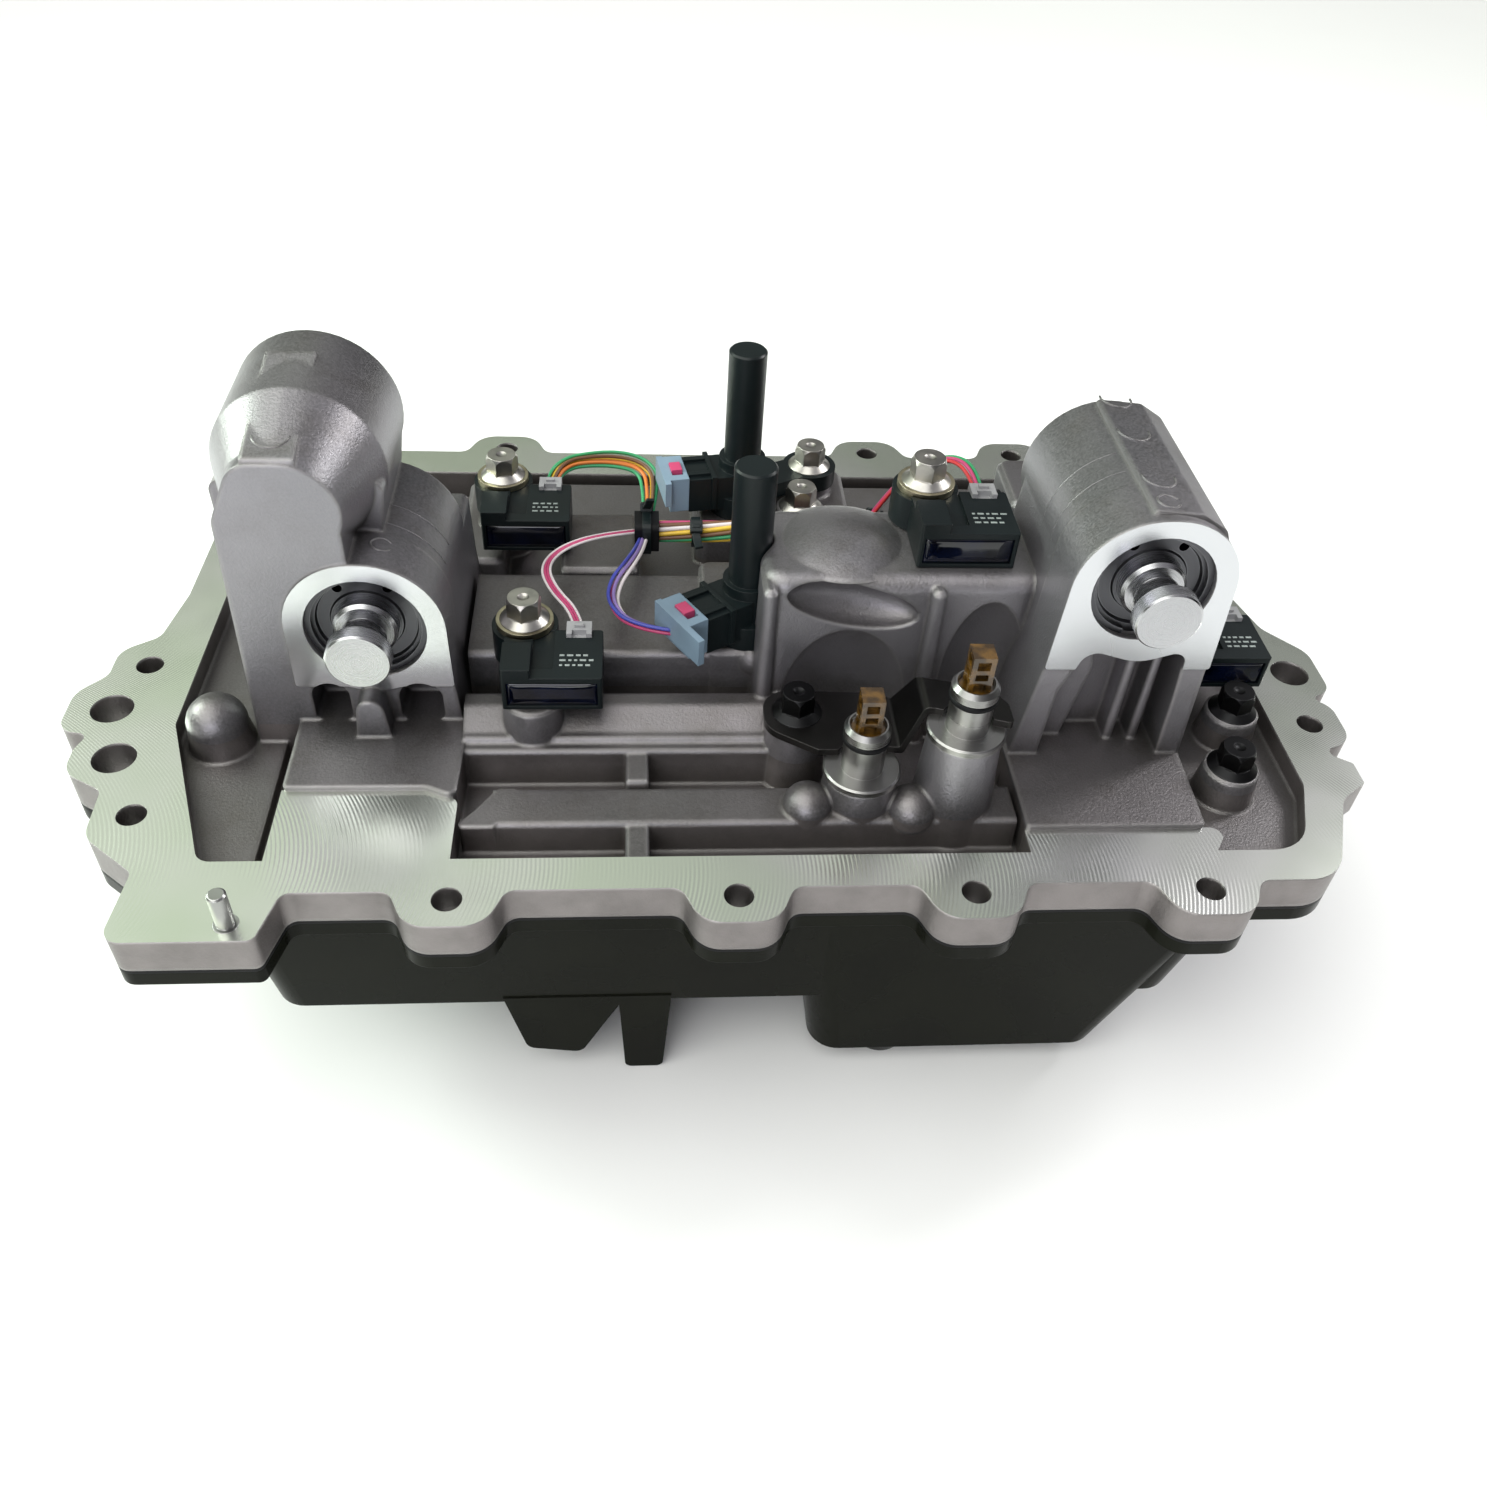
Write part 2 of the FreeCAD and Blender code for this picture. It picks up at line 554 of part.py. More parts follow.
def small_bosses():
    """Bosses under sensors, nozzles and bolts, and the ball-ended channel plugs."""
    low = POCKET_FLOOR_Z - 1
    shapes = []
    for x, y, z in SENSOR_PLACES:
        bx, by = x + SENSOR_BOLT_SIDE, y + SENSOR_BOLT_BACK
        shapes.append(boss(SENSOR_EAR_R - 0.8, bx, by, foot_z(bx), z))
    x, y, z = SENSOR_PLACES[1]
    shapes.append(boss(7.4, x + 7, y + 5, low, z - SEAT_GAP))
    for x, y, z in NOZZLE_PLACES:
        shapes.append(boss(NOZZLE_DISC_R - 0.7, x, y, low, z, 1.8))
    shapes.append(boss(7.4, PLATE_BOLT[0], PLATE_BOLT[1], low, NOZZLE_PLACES[0][2] + NOZZLE_DISC_T))
    for x, y, z, r in ((18.5, 29, -1, 6.2), (44, 27.5, -1, 6.4), (8, 76, 8, 5.5)):
        shapes.append(Part.makeSphere(r, V(x, y, z)))
    shapes.append(Part.makeSphere(7.5, V(-128, 58, 1)))
    shapes.append(Part.makeCone(9, 7.3, 10, V(-128, 58, SHELF_Z - 3), Z_AXIS))
    for x, y, z in PAD_BOLTS:
        shapes.append(boss(7, x, y, foot_z(x), z))
    shapes.append(boss(7, CLAMP_BOLT[0], CLAMP_BOLT[1], low, CLAMP_BOLT[2]))
    for x, y, z in SPEED_EARS:
        shapes.append(boss(7.2, x, y, low, z - SPEED_EAR_H))
    return shapes


def rear_deck():
    """Floor of the rear half, its raised pad and the plain rear platforms."""
    low = POCKET_FLOOR_Z - 1
    deck = soft_block(-70, WELL[1] + 1, 106, WELL[3] - 2, low, -2, 4, 0.6, 1)
    pad = soft_block(-45, -22, 112, 142, low, 9, 2.5, 0.6, 1)
    bench = soft_block(-6, 42, 130, 164, low, SPEED_PLACES[1][2] - SEAT_GAP, 4, 1, 1.2)
    front_bench = soft_block(-6, 14, 72, 114, low, SPEED_PLACES[0][2] - SEAT_GAP, 4, 0.5, 1)
    duct = soft_block(DUCT_X, DUCT_X + 22, 118, 144, low, 28, 4, 0, 1.2)
    left = soft_block(-75, -60, 120, 165, low, 6, 4, 1, 1.2)
    return [deck, pad, bench, front_bench, left, duct]


def housing_holes():
    """Bolt holes of the flange, and the seats of every bolt, nozzle, post and pin."""
    holes = [post(r, x, y, -FLANGE_T - 1, 1) for x, y, r in FLANGE_HOLES]
    thread_r = SHANK_R + SEAT_GAP
    for x, y, z in SENSOR_PLACES:
        bx, by = x + SENSOR_BOLT_SIDE, y + SENSOR_BOLT_BACK
        holes.append(post(thread_r, bx, by, z - BOLT_DEPTH - 1, z + 1))
    for x, y, z in PAD_BOLTS + (CLAMP_BOLT,):
        holes.append(post(thread_r, x, y, z - BOLT_DEPTH - 1, z + 1))
    for x, y, z in SPEED_EARS:
        holes.append(post(thread_r, x, y, z - SPEED_EAR_H - BOLT_DEPTH - 1, z))
    x, y = PLATE_BOLT
    z = NOZZLE_PLACES[0][2] + NOZZLE_DISC_T
    holes.append(post(thread_r, x, y, z - BOLT_DEPTH - 1, z + 1))
    for x, y, z in NOZZLE_PLACES:
        holes.append(post(NOZZLE_R + SEAT_GAP, x, y, z - NOZZLE_SPIGOT - 0.5, z + 1))
        holes.append(post(NOZZLE_BORE_R, x, y, POCKET_FLOOR_Z - FLOOR_T - 1, z))
    x, y = DOWEL_PIN
    holes.append(post(DOWEL_FOOT_R + SEAT_GAP / 2, x, y, -DOWEL_FOOT_DEPTH - SEAT_GAP, 1))
    for x, y in COVER_SCREWS:
        holes.append(post(COVER_SCREW_R + SEAT_GAP, x, y, -FLANGE_T - 1, -FLANGE_T + 7))
    for place, ear in zip(SPEED_PLACES, SPEED_EARS):
        holes += speed_sensor_room(place, ear)
    holes.append(Part.makeCylinder(GROMMET_R, 14, V(DUCT_X - 1, CONDUIT_END[0], CONDUIT_END[1]), X_AXIS))
    holes.append(post(5, DUCT_X + 9, CONDUIT_END[0], POCKET_FLOOR_Z - FLOOR_T - 1, CONDUIT_END[1]))
    return holes


def valve_housing():
    """The whole casting."""
    body = fuse_in_turn([[flange()], terraces(), slabs(), right_tower(), left_tower(), rear_tower(),
                         dome_block(), small_bosses(), rear_deck()])
    return body.cut(bore_cuts() + left_mouths() + housing_holes())


# Shift pistons

def shift_piston(axis, face_y, side):
    """Rod with its turned head and shoulder outside, and the sealed piston inside."""
    head = -HEAD_REACH
    land = GUIDE_BACK + TRAVEL_OUT + 1.0
    groove = land + (PISTON_T - SEAL_T) / 2
    land_r = PISTON_BORE_R - RUN_GAP
    return turned([(head, 0), (head, HEAD_R - 0.4), (head + 0.4, HEAD_R), (head + HEAD_T, HEAD_R),
                   (head + HEAD_T, NECK_R), (-4.6, NECK_R), (-4.2, SHOULDER_R), (-2.2, SHOULDER_R),
                   (-1.8, NECK_R + 0.9), (-0.9, NECK_R + 0.9), (-0.4, ROD_R - 0.8), (0.4, ROD_R),
                   (land, ROD_R), (land, land_r), (groove, land_r), (groove, land_r - SEAL_DEPTH),
                   (groove + SEAL_T, land_r - SEAL_DEPTH), (groove + SEAL_T, land_r),
                   (land + PISTON_T, land_r), (land + PISTON_T, 0)], axis, face_y, side)


def piston_seal(axis, face_y, side):
    land = GUIDE_BACK + TRAVEL_OUT + 1.0
    groove = land + (PISTON_T - SEAL_T) / 2
    inner = PISTON_BORE_R - RUN_GAP - SEAL_DEPTH + SEAT_GAP
    outer = PISTON_BORE_R - RUN_GAP / 2
    return turned([(groove + SEAT_GAP, inner), (groove + SEAT_GAP, outer),
                   (groove + SEAL_T - SEAT_GAP, outer), (groove + SEAL_T - SEAT_GAP, inner)],
                  axis, face_y, side)


def guide_disc(axis, face_y, side):
    """Disc that guides the rod, dished on the outside, with two drive holes near the top."""
    outer = BORE_R - SEAT_GAP
    inner = ROD_R + RUN_GAP
    disc = turned([(GUIDE_RECESS, outer), (GUIDE_RECESS, outer - 2.2), (GUIDE_RECESS + 1, outer - 2.6),
                   (GUIDE_RECESS + 1, inner + 1.2), (GUIDE_RECESS + 0.4, inner + 0.8),
                   (GUIDE_RECESS + 0.4, inner), (GUIDE_BACK, inner), (GUIDE_BACK, outer)],
                  axis, face_y, side)
    holes = []
    a, b = sorted((face_y, face_y + side * GUIDE_BACK * 1.2))
    for turn in (-32, 32):
        hx = axis[0] + 11.0 * math.sin(math.radians(turn))
        hz = axis[1] + 11.0 * math.cos(math.radians(turn))
        holes.append(rod_y(1.2, hx, hz, a, b))
    return disc.cut(holes)


def snap_ring(axis, face_y, side):
    """Open retaining ring in its groove; the gap is at the bottom."""
    start = GUIDE_RECESS - RING_T + SEAT_GAP
    outer = BORE_R + RING_GROOVE - SEAT_GAP
    ring = turned([(start, outer - RING_W), (start, outer), (GUIDE_RECESS, outer),
                   (GUIDE_RECESS, outer - RING_W)], axis, face_y, side)
    x, z = axis
    gap = box(x - 3.5, x + 3.5, face_y - 10, face_y + 10, z - BORE_R - 4, z)
    return ring.cut(gap)


# Bolts

def flange_bolt(x, y, seat_z, length, flange_r=BOLT_FLANGE_R, turn=0.0):
    """Hexagon bolt with a pressed flange, seated at seat_z, shank downwards."""
    head = hex_prism(HEX_AF, x, y, seat_z, seat_z + BOLT_FLANGE_T + HEX_H, turn)
    crown = head.common(Part.makeCone(HEX_AF / 2 + 3, HEX_AF / 2, BOLT_FLANGE_T + HEX_H, V(x, y, seat_z)))
    skirt = Part.makeCone(flange_r, HEX_AF / 2 + 0.4, BOLT_FLANGE_T, V(x, y, seat_z))
    shank = post(SHANK_R, x, y, seat_z - length, seat_z)
    dimple = Part.makeSphere(2.6, V(x, y, seat_z + BOLT_FLANGE_T + HEX_H + 2.1))
    return fuse([crown, skirt, shank]).cut(dimple)


def dowel_pin():
    """Stepped pin: wide foot pressed in the flange, relief groove, plain pin with a coned tip."""
    x, y = DOWEL_PIN
    groove_r = DOWEL_R - 0.25
    points = [(0, -DOWEL_FOOT_DEPTH), (DOWEL_FOOT_R, -DOWEL_FOOT_DEPTH), (DOWEL_FOOT_R, 0), (groove_r, 0),
              (groove_r, DOWEL_RELIEF), (DOWEL_R, DOWEL_RELIEF), (DOWEL_R, DOWEL_H - DOWEL_TIP),
              (DOWEL_R - DOWEL_TIP, DOWEL_H), (0, DOWEL_H)]
    wire = Part.makePolygon([V(x + r, y, h) for r, h in points + [points[0]]])
    return Part.Face(wire).revolve(V(x, y, 0), Z_AXIS, 360)


def washer(x, y, z):
    return post(WASHER_R, x, y, z, z + WASHER_T).cut(post(SHANK_R + SHANK_GAP, x, y, z - 1, z + WASHER_T + 1))


# Position sensors

def sensor_bolt_at(place):
    x, y, z = place
    return x + SENSOR_BOLT_SIDE, y + SENSOR_BOLT_BACK, z + SENSOR_EAR_H


def position_sensor(place):
    """Moulded sensor: flat case, raised step at the left, bolt ear behind, plug pocket."""
    x, y, z = place
    bx, by, top = sensor_bolt_at(place)
    case = plate([(x, y, 0.6), (x + SENSOR_W, y, 0.6), (x + SENSOR_W, y + SENSOR_D, 0.8),
                  (x, y + SENSOR_D, 0.8)], z, z + SENSOR_H)
    step = plate([(x, y, 0.6), (x + SENSOR_STEP_W, y, 0.4), (x + SENSOR_STEP_W, y + SENSOR_STEP_D, 0.4),
                  (x, y + SENSOR_STEP_D, 0.4)], z + 1, z + SENSOR_STEP_H)
    ear = post(SENSOR_EAR_R, bx, by, z + SEAT_GAP, top)
    sunk = box(x + SENSOR_STEP_W, x + 12.5, y + 4, y + SENSOR_D + 1, z + SENSOR_H - 1, z + SENSOR_H + 1)
    window = box(x + 1.2, x + SENSOR_W - 1.2, y - 1, y + 0.5, z + 1, z + SENSOR_H - 1.6)
    px, py = plug_corner(place)
    pocket = box(px - SEAT_GAP, px + PLUG_W + SEAT_GAP, py - SEAT_GAP, y + SENSOR_D + 1,
                 z + PLUG_LOW - SEAT_GAP, z + SENSOR_H + 1)
    hole = post(SHANK_R + SHANK_GAP, bx, by, z - 1, top + 1)
    relief = post(WASHER_R + 0.4, bx, by, top, top + 20)
    return fuse([case, step, ear]).cut([sunk, window, pocket, hole, relief])


def plug_corner(place):
    x, y, z = place
    return x + PLUG_SIDE, y + SENSOR_D - PLUG_D + PLUG_OUT


def sensor_plug(place):
    """Small grey plug in the pocket at the back of a position sensor, with its snap tab."""
    x, y, z = place
    px, py = plug_corner(place)
    body = box(px, px + PLUG_W, py, py + PLUG_D, z + PLUG_LOW, z + PLUG_LOW + PLUG_H)
    notch = box(px + 1.4, px + PLUG_W - 1.4, py - 1, py + 1.6, z + PLUG_LOW + PLUG_H - 1.6, z + 30)
    tab = box(px + 2, px + PLUG_W - 2, py + 2.4, py + 3.6, z + PLUG_LOW + PLUG_H - 0.5,
              z + PLUG_LOW + PLUG_H + 0.8)
    return fuse([body, tab]).cut(notch)


# Speed sensors

def turned_about(shape, x, y, angle):
    moved = shape.copy()
    moved.rotate(V(x, y, 0), Z_AXIS, angle)
    return moved


def speed_foot(place, ear, grow):
    """Foot, waist and arm of a speed sensor; grown, they are the room for it in the casting."""
    x, y, z = place
    ex, ey, ear_top = ear
    reach = math.hypot(ex - x, ey - y)
    half = 5.5 + grow
    low = ear_top - SPEED_EAR_H
    arm = box(x, x + reach, y - half, y + half, low + 0.3 - min(grow, 0.25), ear_top + grow)
    arm = turned_about(arm, x, y, math.degrees(math.atan2(ey - y, ex - x)))
    foot = post(9.2 + grow, x, y, z, z + 7 + grow)
    waist = post(POST_R + 1.4 + grow, x, y, z + 7, z + 17 + grow)
    return [foot, waist, arm, post(SPEED_EAR_R + grow, ex, ey, low, ear_top + grow)]


def speed_sensor_room(place, ear):
    return speed_foot(place, ear, 0.5) + [post(POST_R + 0.5, place[0], place[1], place[2] + 7, 50)]


def speed_sensor(place, ear, turn):
    """Sensor with a tall post, a foot, an arm to its bolt ear and a socket to one side."""
    x, y, z = place
    ex, ey, ear_top = ear
    mast = post(POST_R, x, y, z, POST_TOP_Z)
    tip = [e for e in mast.Edges if e.BoundBox.ZMin > POST_TOP_Z - 1e-3]
    mast = mast.makeChamfer(0.5, tip)
    hole = post(SHANK_R + SHANK_GAP, ex, ey, z - 10, ear_top + 5)
    sz = z + SOCKET_RISE
    half = SOCKET_W / 2
    socket = box(x + 3, x + SOCKET_L, y - half, y + half, sz, sz + SOCKET_H)
    collar = box(x + 9, x + 10.4, y - half - 0.8, y + half + 0.8, sz + 0.5, sz + SOCKET_H + 0.8)
    keys = []
    for d in (-4, 4):
        keys.append(box(x + 10.4, x + SOCKET_L, y + d - 0.8, y + d + 0.8, sz + SOCKET_H, sz + SOCKET_H + 0.9))
    wall = SOCKET_WALL
    mouth = box(x + SOCKET_L - SOCKET_MOUTH, x + SOCKET_L + 1, y - half + wall, y + half - wall,
                sz + wall, sz + SOCKET_H - wall)
    side = turned_about(fuse([socket, collar] + keys).cut(mouth), x, y, turn)
    return fuse([mast, side] + speed_foot(place, ear, 0.0)).cut(hole)


def speed_plug(place, turn, ahead):
    """Plug pushed on a speed sensor socket, with the lock strip on its outer face."""
    x, y, z = place
    sz = z + SOCKET_RISE
    gap = SEAT_GAP
    start = x + SOCKET_L + gap
    end = start + SPEED_PLUG_L
    half = SOCKET_W / 2
    inner = half - SOCKET_WALL - gap
    body = box(start, end, y - half, y + half, sz + 0.5, sz + SOCKET_H + PLUG_RISE)
    nose_low = sz + SOCKET_WALL + gap
    nose_top = sz + SOCKET_H - SOCKET_WALL - gap
    nose = box(start - SOCKET_MOUTH + 0.4, start, y - inner, y + inner, nose_low, nose_top)
    strip_z = sz + SOCKET_H + PLUG_RISE - STRIP_H
    strip = box(end, end + STRIP_T, y - STRIP_BACK, y + ahead, strip_z, strip_z + STRIP_H)
    shape = fuse([body, nose, strip]).cut(latch_block(place, SEAT_GAP, LATCH_TRAVEL, 1.0))
    return turned_about(shape, x, y, turn)


def latch_block(place, grow, run, rise):
    """Block of the latch on top of the plug; grown and run out, it is the latch's slot."""
    x, y, z = place
    top = z + SOCKET_RISE + SOCKET_H + PLUG_RISE
    start = x + SOCKET_L + SEAT_GAP + LATCH_INSET
    return box(start - grow, start + LATCH_L + grow, y - LATCH_HALF - grow, y + LATCH_HALF + grow + run,
               top - LATCH_HALF - grow, top + rise)


def plug_latch(place, turn):
    """Small sliding lock on the plug, pushed across to release it."""
    return turned_about(latch_block(place, 0.0, 0.0, 0.6), place[0], place[1], turn)


# Oil nozzles

def nozzle(place):
    """Turned steel nozzle: spigot in the housing, wide disc, seal groove and rolled top."""
    x, y, z = place
    top = z + NOZZLE_H
    g0 = top - SEAL_DROP
    g1 = g0 + 2 * ORING_R + 0.3
    groove_r = ORING_CENTRE_R - ORING_R - 0.05
    inner = NOZZLE_BORE_R - 0.8
    points = [(inner, z - NOZZLE_SPIGOT), (NOZZLE_R, z - NOZZLE_SPIGOT), (NOZZLE_R, z), (NOZZLE_DISC_R, z),
              (NOZZLE_DISC_R, z + NOZZLE_DISC_T - 0.4), (NOZZLE_DISC_R - 0.4, z + NOZZLE_DISC_T),
              (NOZZLE_R, z + NOZZLE_DISC_T), (NOZZLE_R, g0), (groove_r, g0), (groove_r, g1),
              (NOZZLE_RING_R, g1), (NOZZLE_RING_R, top - 1.2), (NOZZLE_RING_R - 0.9, top),
              (NOZZLE_BORE_R + 0.4, top), (NOZZLE_BORE_R, top - 0.5), (NOZZLE_BORE_R, top - FILTER_SEAT),
              (inner, top - FILTER_SEAT)]
    wire = Part.makePolygon([V(x + r, y, h) for r, h in points + [points[0]]])
    return Part.Face(wire).revolve(V(x, y, 0), Z_AXIS, 360)


def nozzle_seal(place):
    x, y, z = place
    height = z + NOZZLE_H - SEAL_DROP + ORING_R + 0.15
    return Part.makeTorus(ORING_CENTRE_R, ORING_R, V(x, y, height), Z_AXIS)


def nozzle_filter(place):
    """Strainer that stands in the mouth of a nozzle: round foot, square ribbed cage."""
    x, y, z = place
    foot_z = z + NOZZLE_H - FILTER_SEAT
    top_z = z + NOZZLE_H + 9
    foot = post(NOZZLE_BORE_R - SEAT_GAP, x, y, foot_z, foot_z + 1.2)
    core = box(x - 1.3, x + 1.3, y - 1.3, y + 1.3, foot_z, top_z)
    ribs = []
    for i in range(4):
        ribs.append(box(x - 2.7 if i % 2 else x + 1.5, x - 1.5 if i % 2 else x + 2.7,
                        y - 2.7 if i < 2 else y + 1.5, y - 1.5 if i < 2 else y + 2.7, foot_z, top_z))
    rings = []
    for h in (foot_z + 3.4, foot_z + 6.4, top_z - 1.2):
        rings.append(box(x - 2.7, x + 2.7, y - 2.7, y + 2.7, h, h + 1.2))
    return fuse([foot, core] + ribs + rings)


def retaining_plate():
    """Stamped plate that holds both nozzle discs; it steps up between them."""
    z0 = NOZZLE_PLACES[0][2] + NOZZLE_DISC_T
    z1 = NOZZLE_PLACES[1][2] + NOZZLE_DISC_T
    t = PLATE_T
    x0, y0 = PLATE_BOLT
    ramp0 = NOZZLE_PLACES[0][0] + NOZZLE_DISC_R + 0.6
    ramp1 = ramp0 + 4.2
    far = NOZZLE_PLACES[1][0] + 11
    section = bar_y([(x0 - 9, z0, 0), (ramp0 + 0.6, z0, 1), (ramp1 + 0.6, z1, 1), (far, z1, 0),
                     (far, z1 + t, 0), (ramp1 - 0.4, z1 + t, 2), (ramp0 - 0.4, z0 + t, 1),
                     (x0 - 9, z0 + t, 0)], 20, 70)
    outline = plate([(x0 - 8.4, y0 + 8, 7), (x0 - 8.4, y0 - 6, 7), (x0 + 4, y0 - 14, 1), (x0 + 9, y0 - 14, 1),
                     (x0 + 11, y0 - 12, 1), (ramp1 + 2, 36.5, 1), (far, 31, 1), (far, 38, 1),
                     (far - 4, 44, 3),
                     (ramp1, 48, 3), (ramp0 - 2, y0 + 7, 6)], z0 - 5, z1 + 10)
    cuts = [post(SHANK_R + SHANK_GAP, x0, y0, z0 - 1, z1 + 5)]
    for x, y, z in NOZZLE_PLACES:
        cuts.append(post(NOZZLE_RING_R + 0.5, x, y, z0 - 5, z1 + 10))
        cuts.append(box(x - NOZZLE_RING_R - 0.5, x + NOZZLE_RING_R + 0.5, y - 30, y, z0 - 5, z1 + 10))
    return section.common(outline).cut(cuts)


# Oil cover

def cover_rim_corners():
    """Outline of the cover rim: the flange outline with a plain right side."""
    corners = []
    for corner in flange_corners():
        x, y, r = corner
        if x > 162 and 33 < y < 45:
            continue
        corners.append(corner)
    return corners


PAN_REAR_Y = BOLT_ROW_SPAN - PAN_REAR_GAP


def pan_solid(inset, lift):
    """Outer form of the pan, or its hollow when inset by the wall and lifted."""
    i = inset
    top = -FLANGE_T - GASKET_T - RIM_T + (0.0 if i == 0 else RIM_T + 1)

    def ring(x0, x1, front_in, rear_in, z):
        y0 = COVER_FRONT_Y + front_in + i
        y1 = PAN_REAR_Y - rear_in - i
        r = 8 - i
        c = ((x0 + i, y0, r), (x1 - i, y0, r), (x1 - i, y1, r), (x0 + i, y1, r))
        return rounded_wire(c, lambda a, b: V(a, b, z))

    shallow = Part.makeLoft([ring(PAN_LEFT, PAN_RIGHT, 0, 0, top),
                             ring(PAN_LEFT + 5, PAN_RIGHT - 8, 2, 3, SHALLOW_Z + lift)], True, True)
    deep = Part.makeLoft([ring(17, PAN_RIGHT - 1, 0, 0, top), ring(23, 103, 1, 6, DEEP_Z + lift)], True, True)
    return shallow.fuse(deep)


def oil_cover():
    """Moulded pan: bolted rim, shallow left part, deep right part, and the feet under it."""
    rim = plate(cover_rim_corners(), -FLANGE_T - GASKET_T - RIM_T, -FLANGE_T - GASKET_T)
    outer = pan_solid(0, 0)
    y0 = COVER_FRONT_Y
    block = bar_y([(-57, SHALLOW_Z + 2, 0), (-52, -69, 3), (-38, -71.5, 3), (-30, SHALLOW_Z - 6, 2),
                   (-26, SHALLOW_Z + 2, 0)], y0 + 1.5, y0 + 28)
    leg = bar_y([(-28, SHALLOW_Z + 2, 0), (-26.5, FOOT_Z, 2), (-16.5, FOOT_Z, 2), (-14.5, SHALLOW_Z + 2, 0)],
                y0 + 1.5, y0 + 14)
    bump = Part.makeCone(10.5, 7.5, DEEP_Z - FOOT_Z + 2, V(44, y0 + 12, DEEP_Z + 2), -Z_AXIS)
    foot = Part.makeCone(9, 7, DEEP_Z - FOOT_Z + 2, V(86, PAN_REAR_Y - 37, DEEP_Z + 2), -Z_AXIS)
    ribs = [box(x, x + 2.4, 24, PAN_REAR_Y - 11, SHALLOW_Z - 2.5, SHALLOW_Z + 1) for x in (-96, -76)]
    cx, cy = CONNECTOR_PLACE
    tower = post(CONNECTOR_R + 3, cx, cy, FOOT_Z + 14, SHALLOW_Z + 2)
    body = fuse([rim, outer, block, leg, bump, tower, foot] + ribs)
    cuts = [pan_solid(COVER_WALL, COVER_WALL)]
    cuts += [post(r, x, y, -40, 1) for x, y, r in FLANGE_HOLES]
    cuts += [post(COVER_SCREW_R + SHANK_GAP, x, y, -40, 1) for x, y in COVER_SCREWS]
    cuts.append(post(CONNECTOR_R, cx, cy, FOOT_Z, -30))
    return body.cut(cuts)


def cover_gasket():
    seal = plate(cover_rim_corners(), -FLANGE_T - GASKET_T, -FLANGE_T)
    x0, x1 = PAN_LEFT + COVER_WALL, PAN_RIGHT - COVER_WALL
    y0, y1 = COVER_FRONT_Y + COVER_WALL, PAN_REAR_Y - COVER_WALL
    opening = plate([(x0, y0, 5), (x1, y0, 5), (x1, y1, 5), (x0, y1, 5)], -20, 0)
    holes = [post(r, x, y, -20, 0) for x, y, r in FLANGE_HOLES]
    holes += [post(COVER_SCREW_R + SHANK_GAP, x, y, -20, 0) for x, y in COVER_SCREWS]
    return seal.cut([opening] + holes)


def cover_screws():
    """Pan screws, put in from below, with a socket in each round head."""
    seat = -FLANGE_T - GASKET_T - RIM_T
    shapes = []
    for x, y in COVER_SCREWS:
        head = post(COVER_SCREW_HEAD_R, x, y, seat - 3.6, seat)
        shank = post(COVER_SCREW_R, x, y, seat, -FLANGE_T + 6.5)
        shapes.append(head.fuse(shank).cut(hex_prism(4, x, y, seat - 4, seat - 1.6)))
    return Part.makeCompound(shapes)


# Hydraulic parts held inside

def separator_plate():
    """Drilled steel plate between the casting and the valve block."""
    y0, y1 = WELL[2] + BLOCK_FRONT_GAP - 2, WELL[3] - BLOCK_REAR_GAP + 2
    corners = [(-104, y0, 4), (16, y0, 4), (16, y1, 4), (-104, y1, 4)]
    sheet = plate(corners, UNDERSIDE_Z - SEPARATOR_T, UNDERSIDE_Z)
    holes = []
    for i in range(6):
        for j in range(4):
            holes.append(post(2.4, BLOCK_BORE_X + BLOCK_BORE_STEP * i, y0 + 18 + 34 * j, UNDERSIDE_Z - 3, 0))
    return sheet.cut(holes)


def valve_block():
    """Lower valve block with six cross bores and the four standoffs of the board."""
    top = UNDERSIDE_Z - SEPARATOR_T
    y0, y1 = WELL[2] + BLOCK_FRONT_GAP, WELL[3] - BLOCK_REAR_GAP
    block = soft_block(-102, 14, y0, y1, -top, -VALVE_BLOCK_Z, 4, 0.5, 1)
    block.rotate(V(-44, 0, 0), Y_AXIS, 180)
    middle_z = (top + VALVE_BLOCK_Z) / 2
    bores = [rod_y(5, BLOCK_BORE_X + BLOCK_BORE_STEP * i, middle_z, y0 - 4, y0 + 66) for i in range(6)]
    standoffs = []
    for x in (-94, 2):
        for y in (y0 + 10, y0 + 94):
            standoffs.append(post(3.5, x, y, VALVE_BLOCK_Z - BOARD_GAP, VALVE_BLOCK_Z + 1))
    return fuse([block.cut(bores)] + standoffs)


def control_board():
    """Circuit board under the valve block with its larger parts."""
    top = VALVE_BLOCK_Z - BOARD_GAP
    low = top - BOARD_T
    y0 = WELL[2] + BLOCK_FRONT_GAP + 6
    board = plate([(-98, y0, 2), (6, y0, 2), (6, y0 + 94, 2), (-98, y0 + 94, 2)], low, top)
    parts = [box(-70, -46, y0 + 30, y0 + 54, low - 2, low), box(-30, -14, y0 + 20, y0 + 36, low - 2, low),
             box(-30, -12, y0 + 56, y0 + 68, low - 2.4, low)]
    return fuse([board] + parts)


def solenoid_valve(x, y):
    """Cartridge valve: drilled nose in the casting side, coil can and connector cap."""
    top = UNDERSIDE_Z
    nose = post(6, x, y, top - 16, top)
    lands = [post(6.8, x, y, top - z - 3, top - z) for z in (2, 8)]
    can = post(SOLENOID_R, x, y, top - 44, top - 16)
    cap = box(x - 5, x + 5, y - 4, y + 4, top - 48, top - 44)
    return fuse([nose, can, cap] + lands)


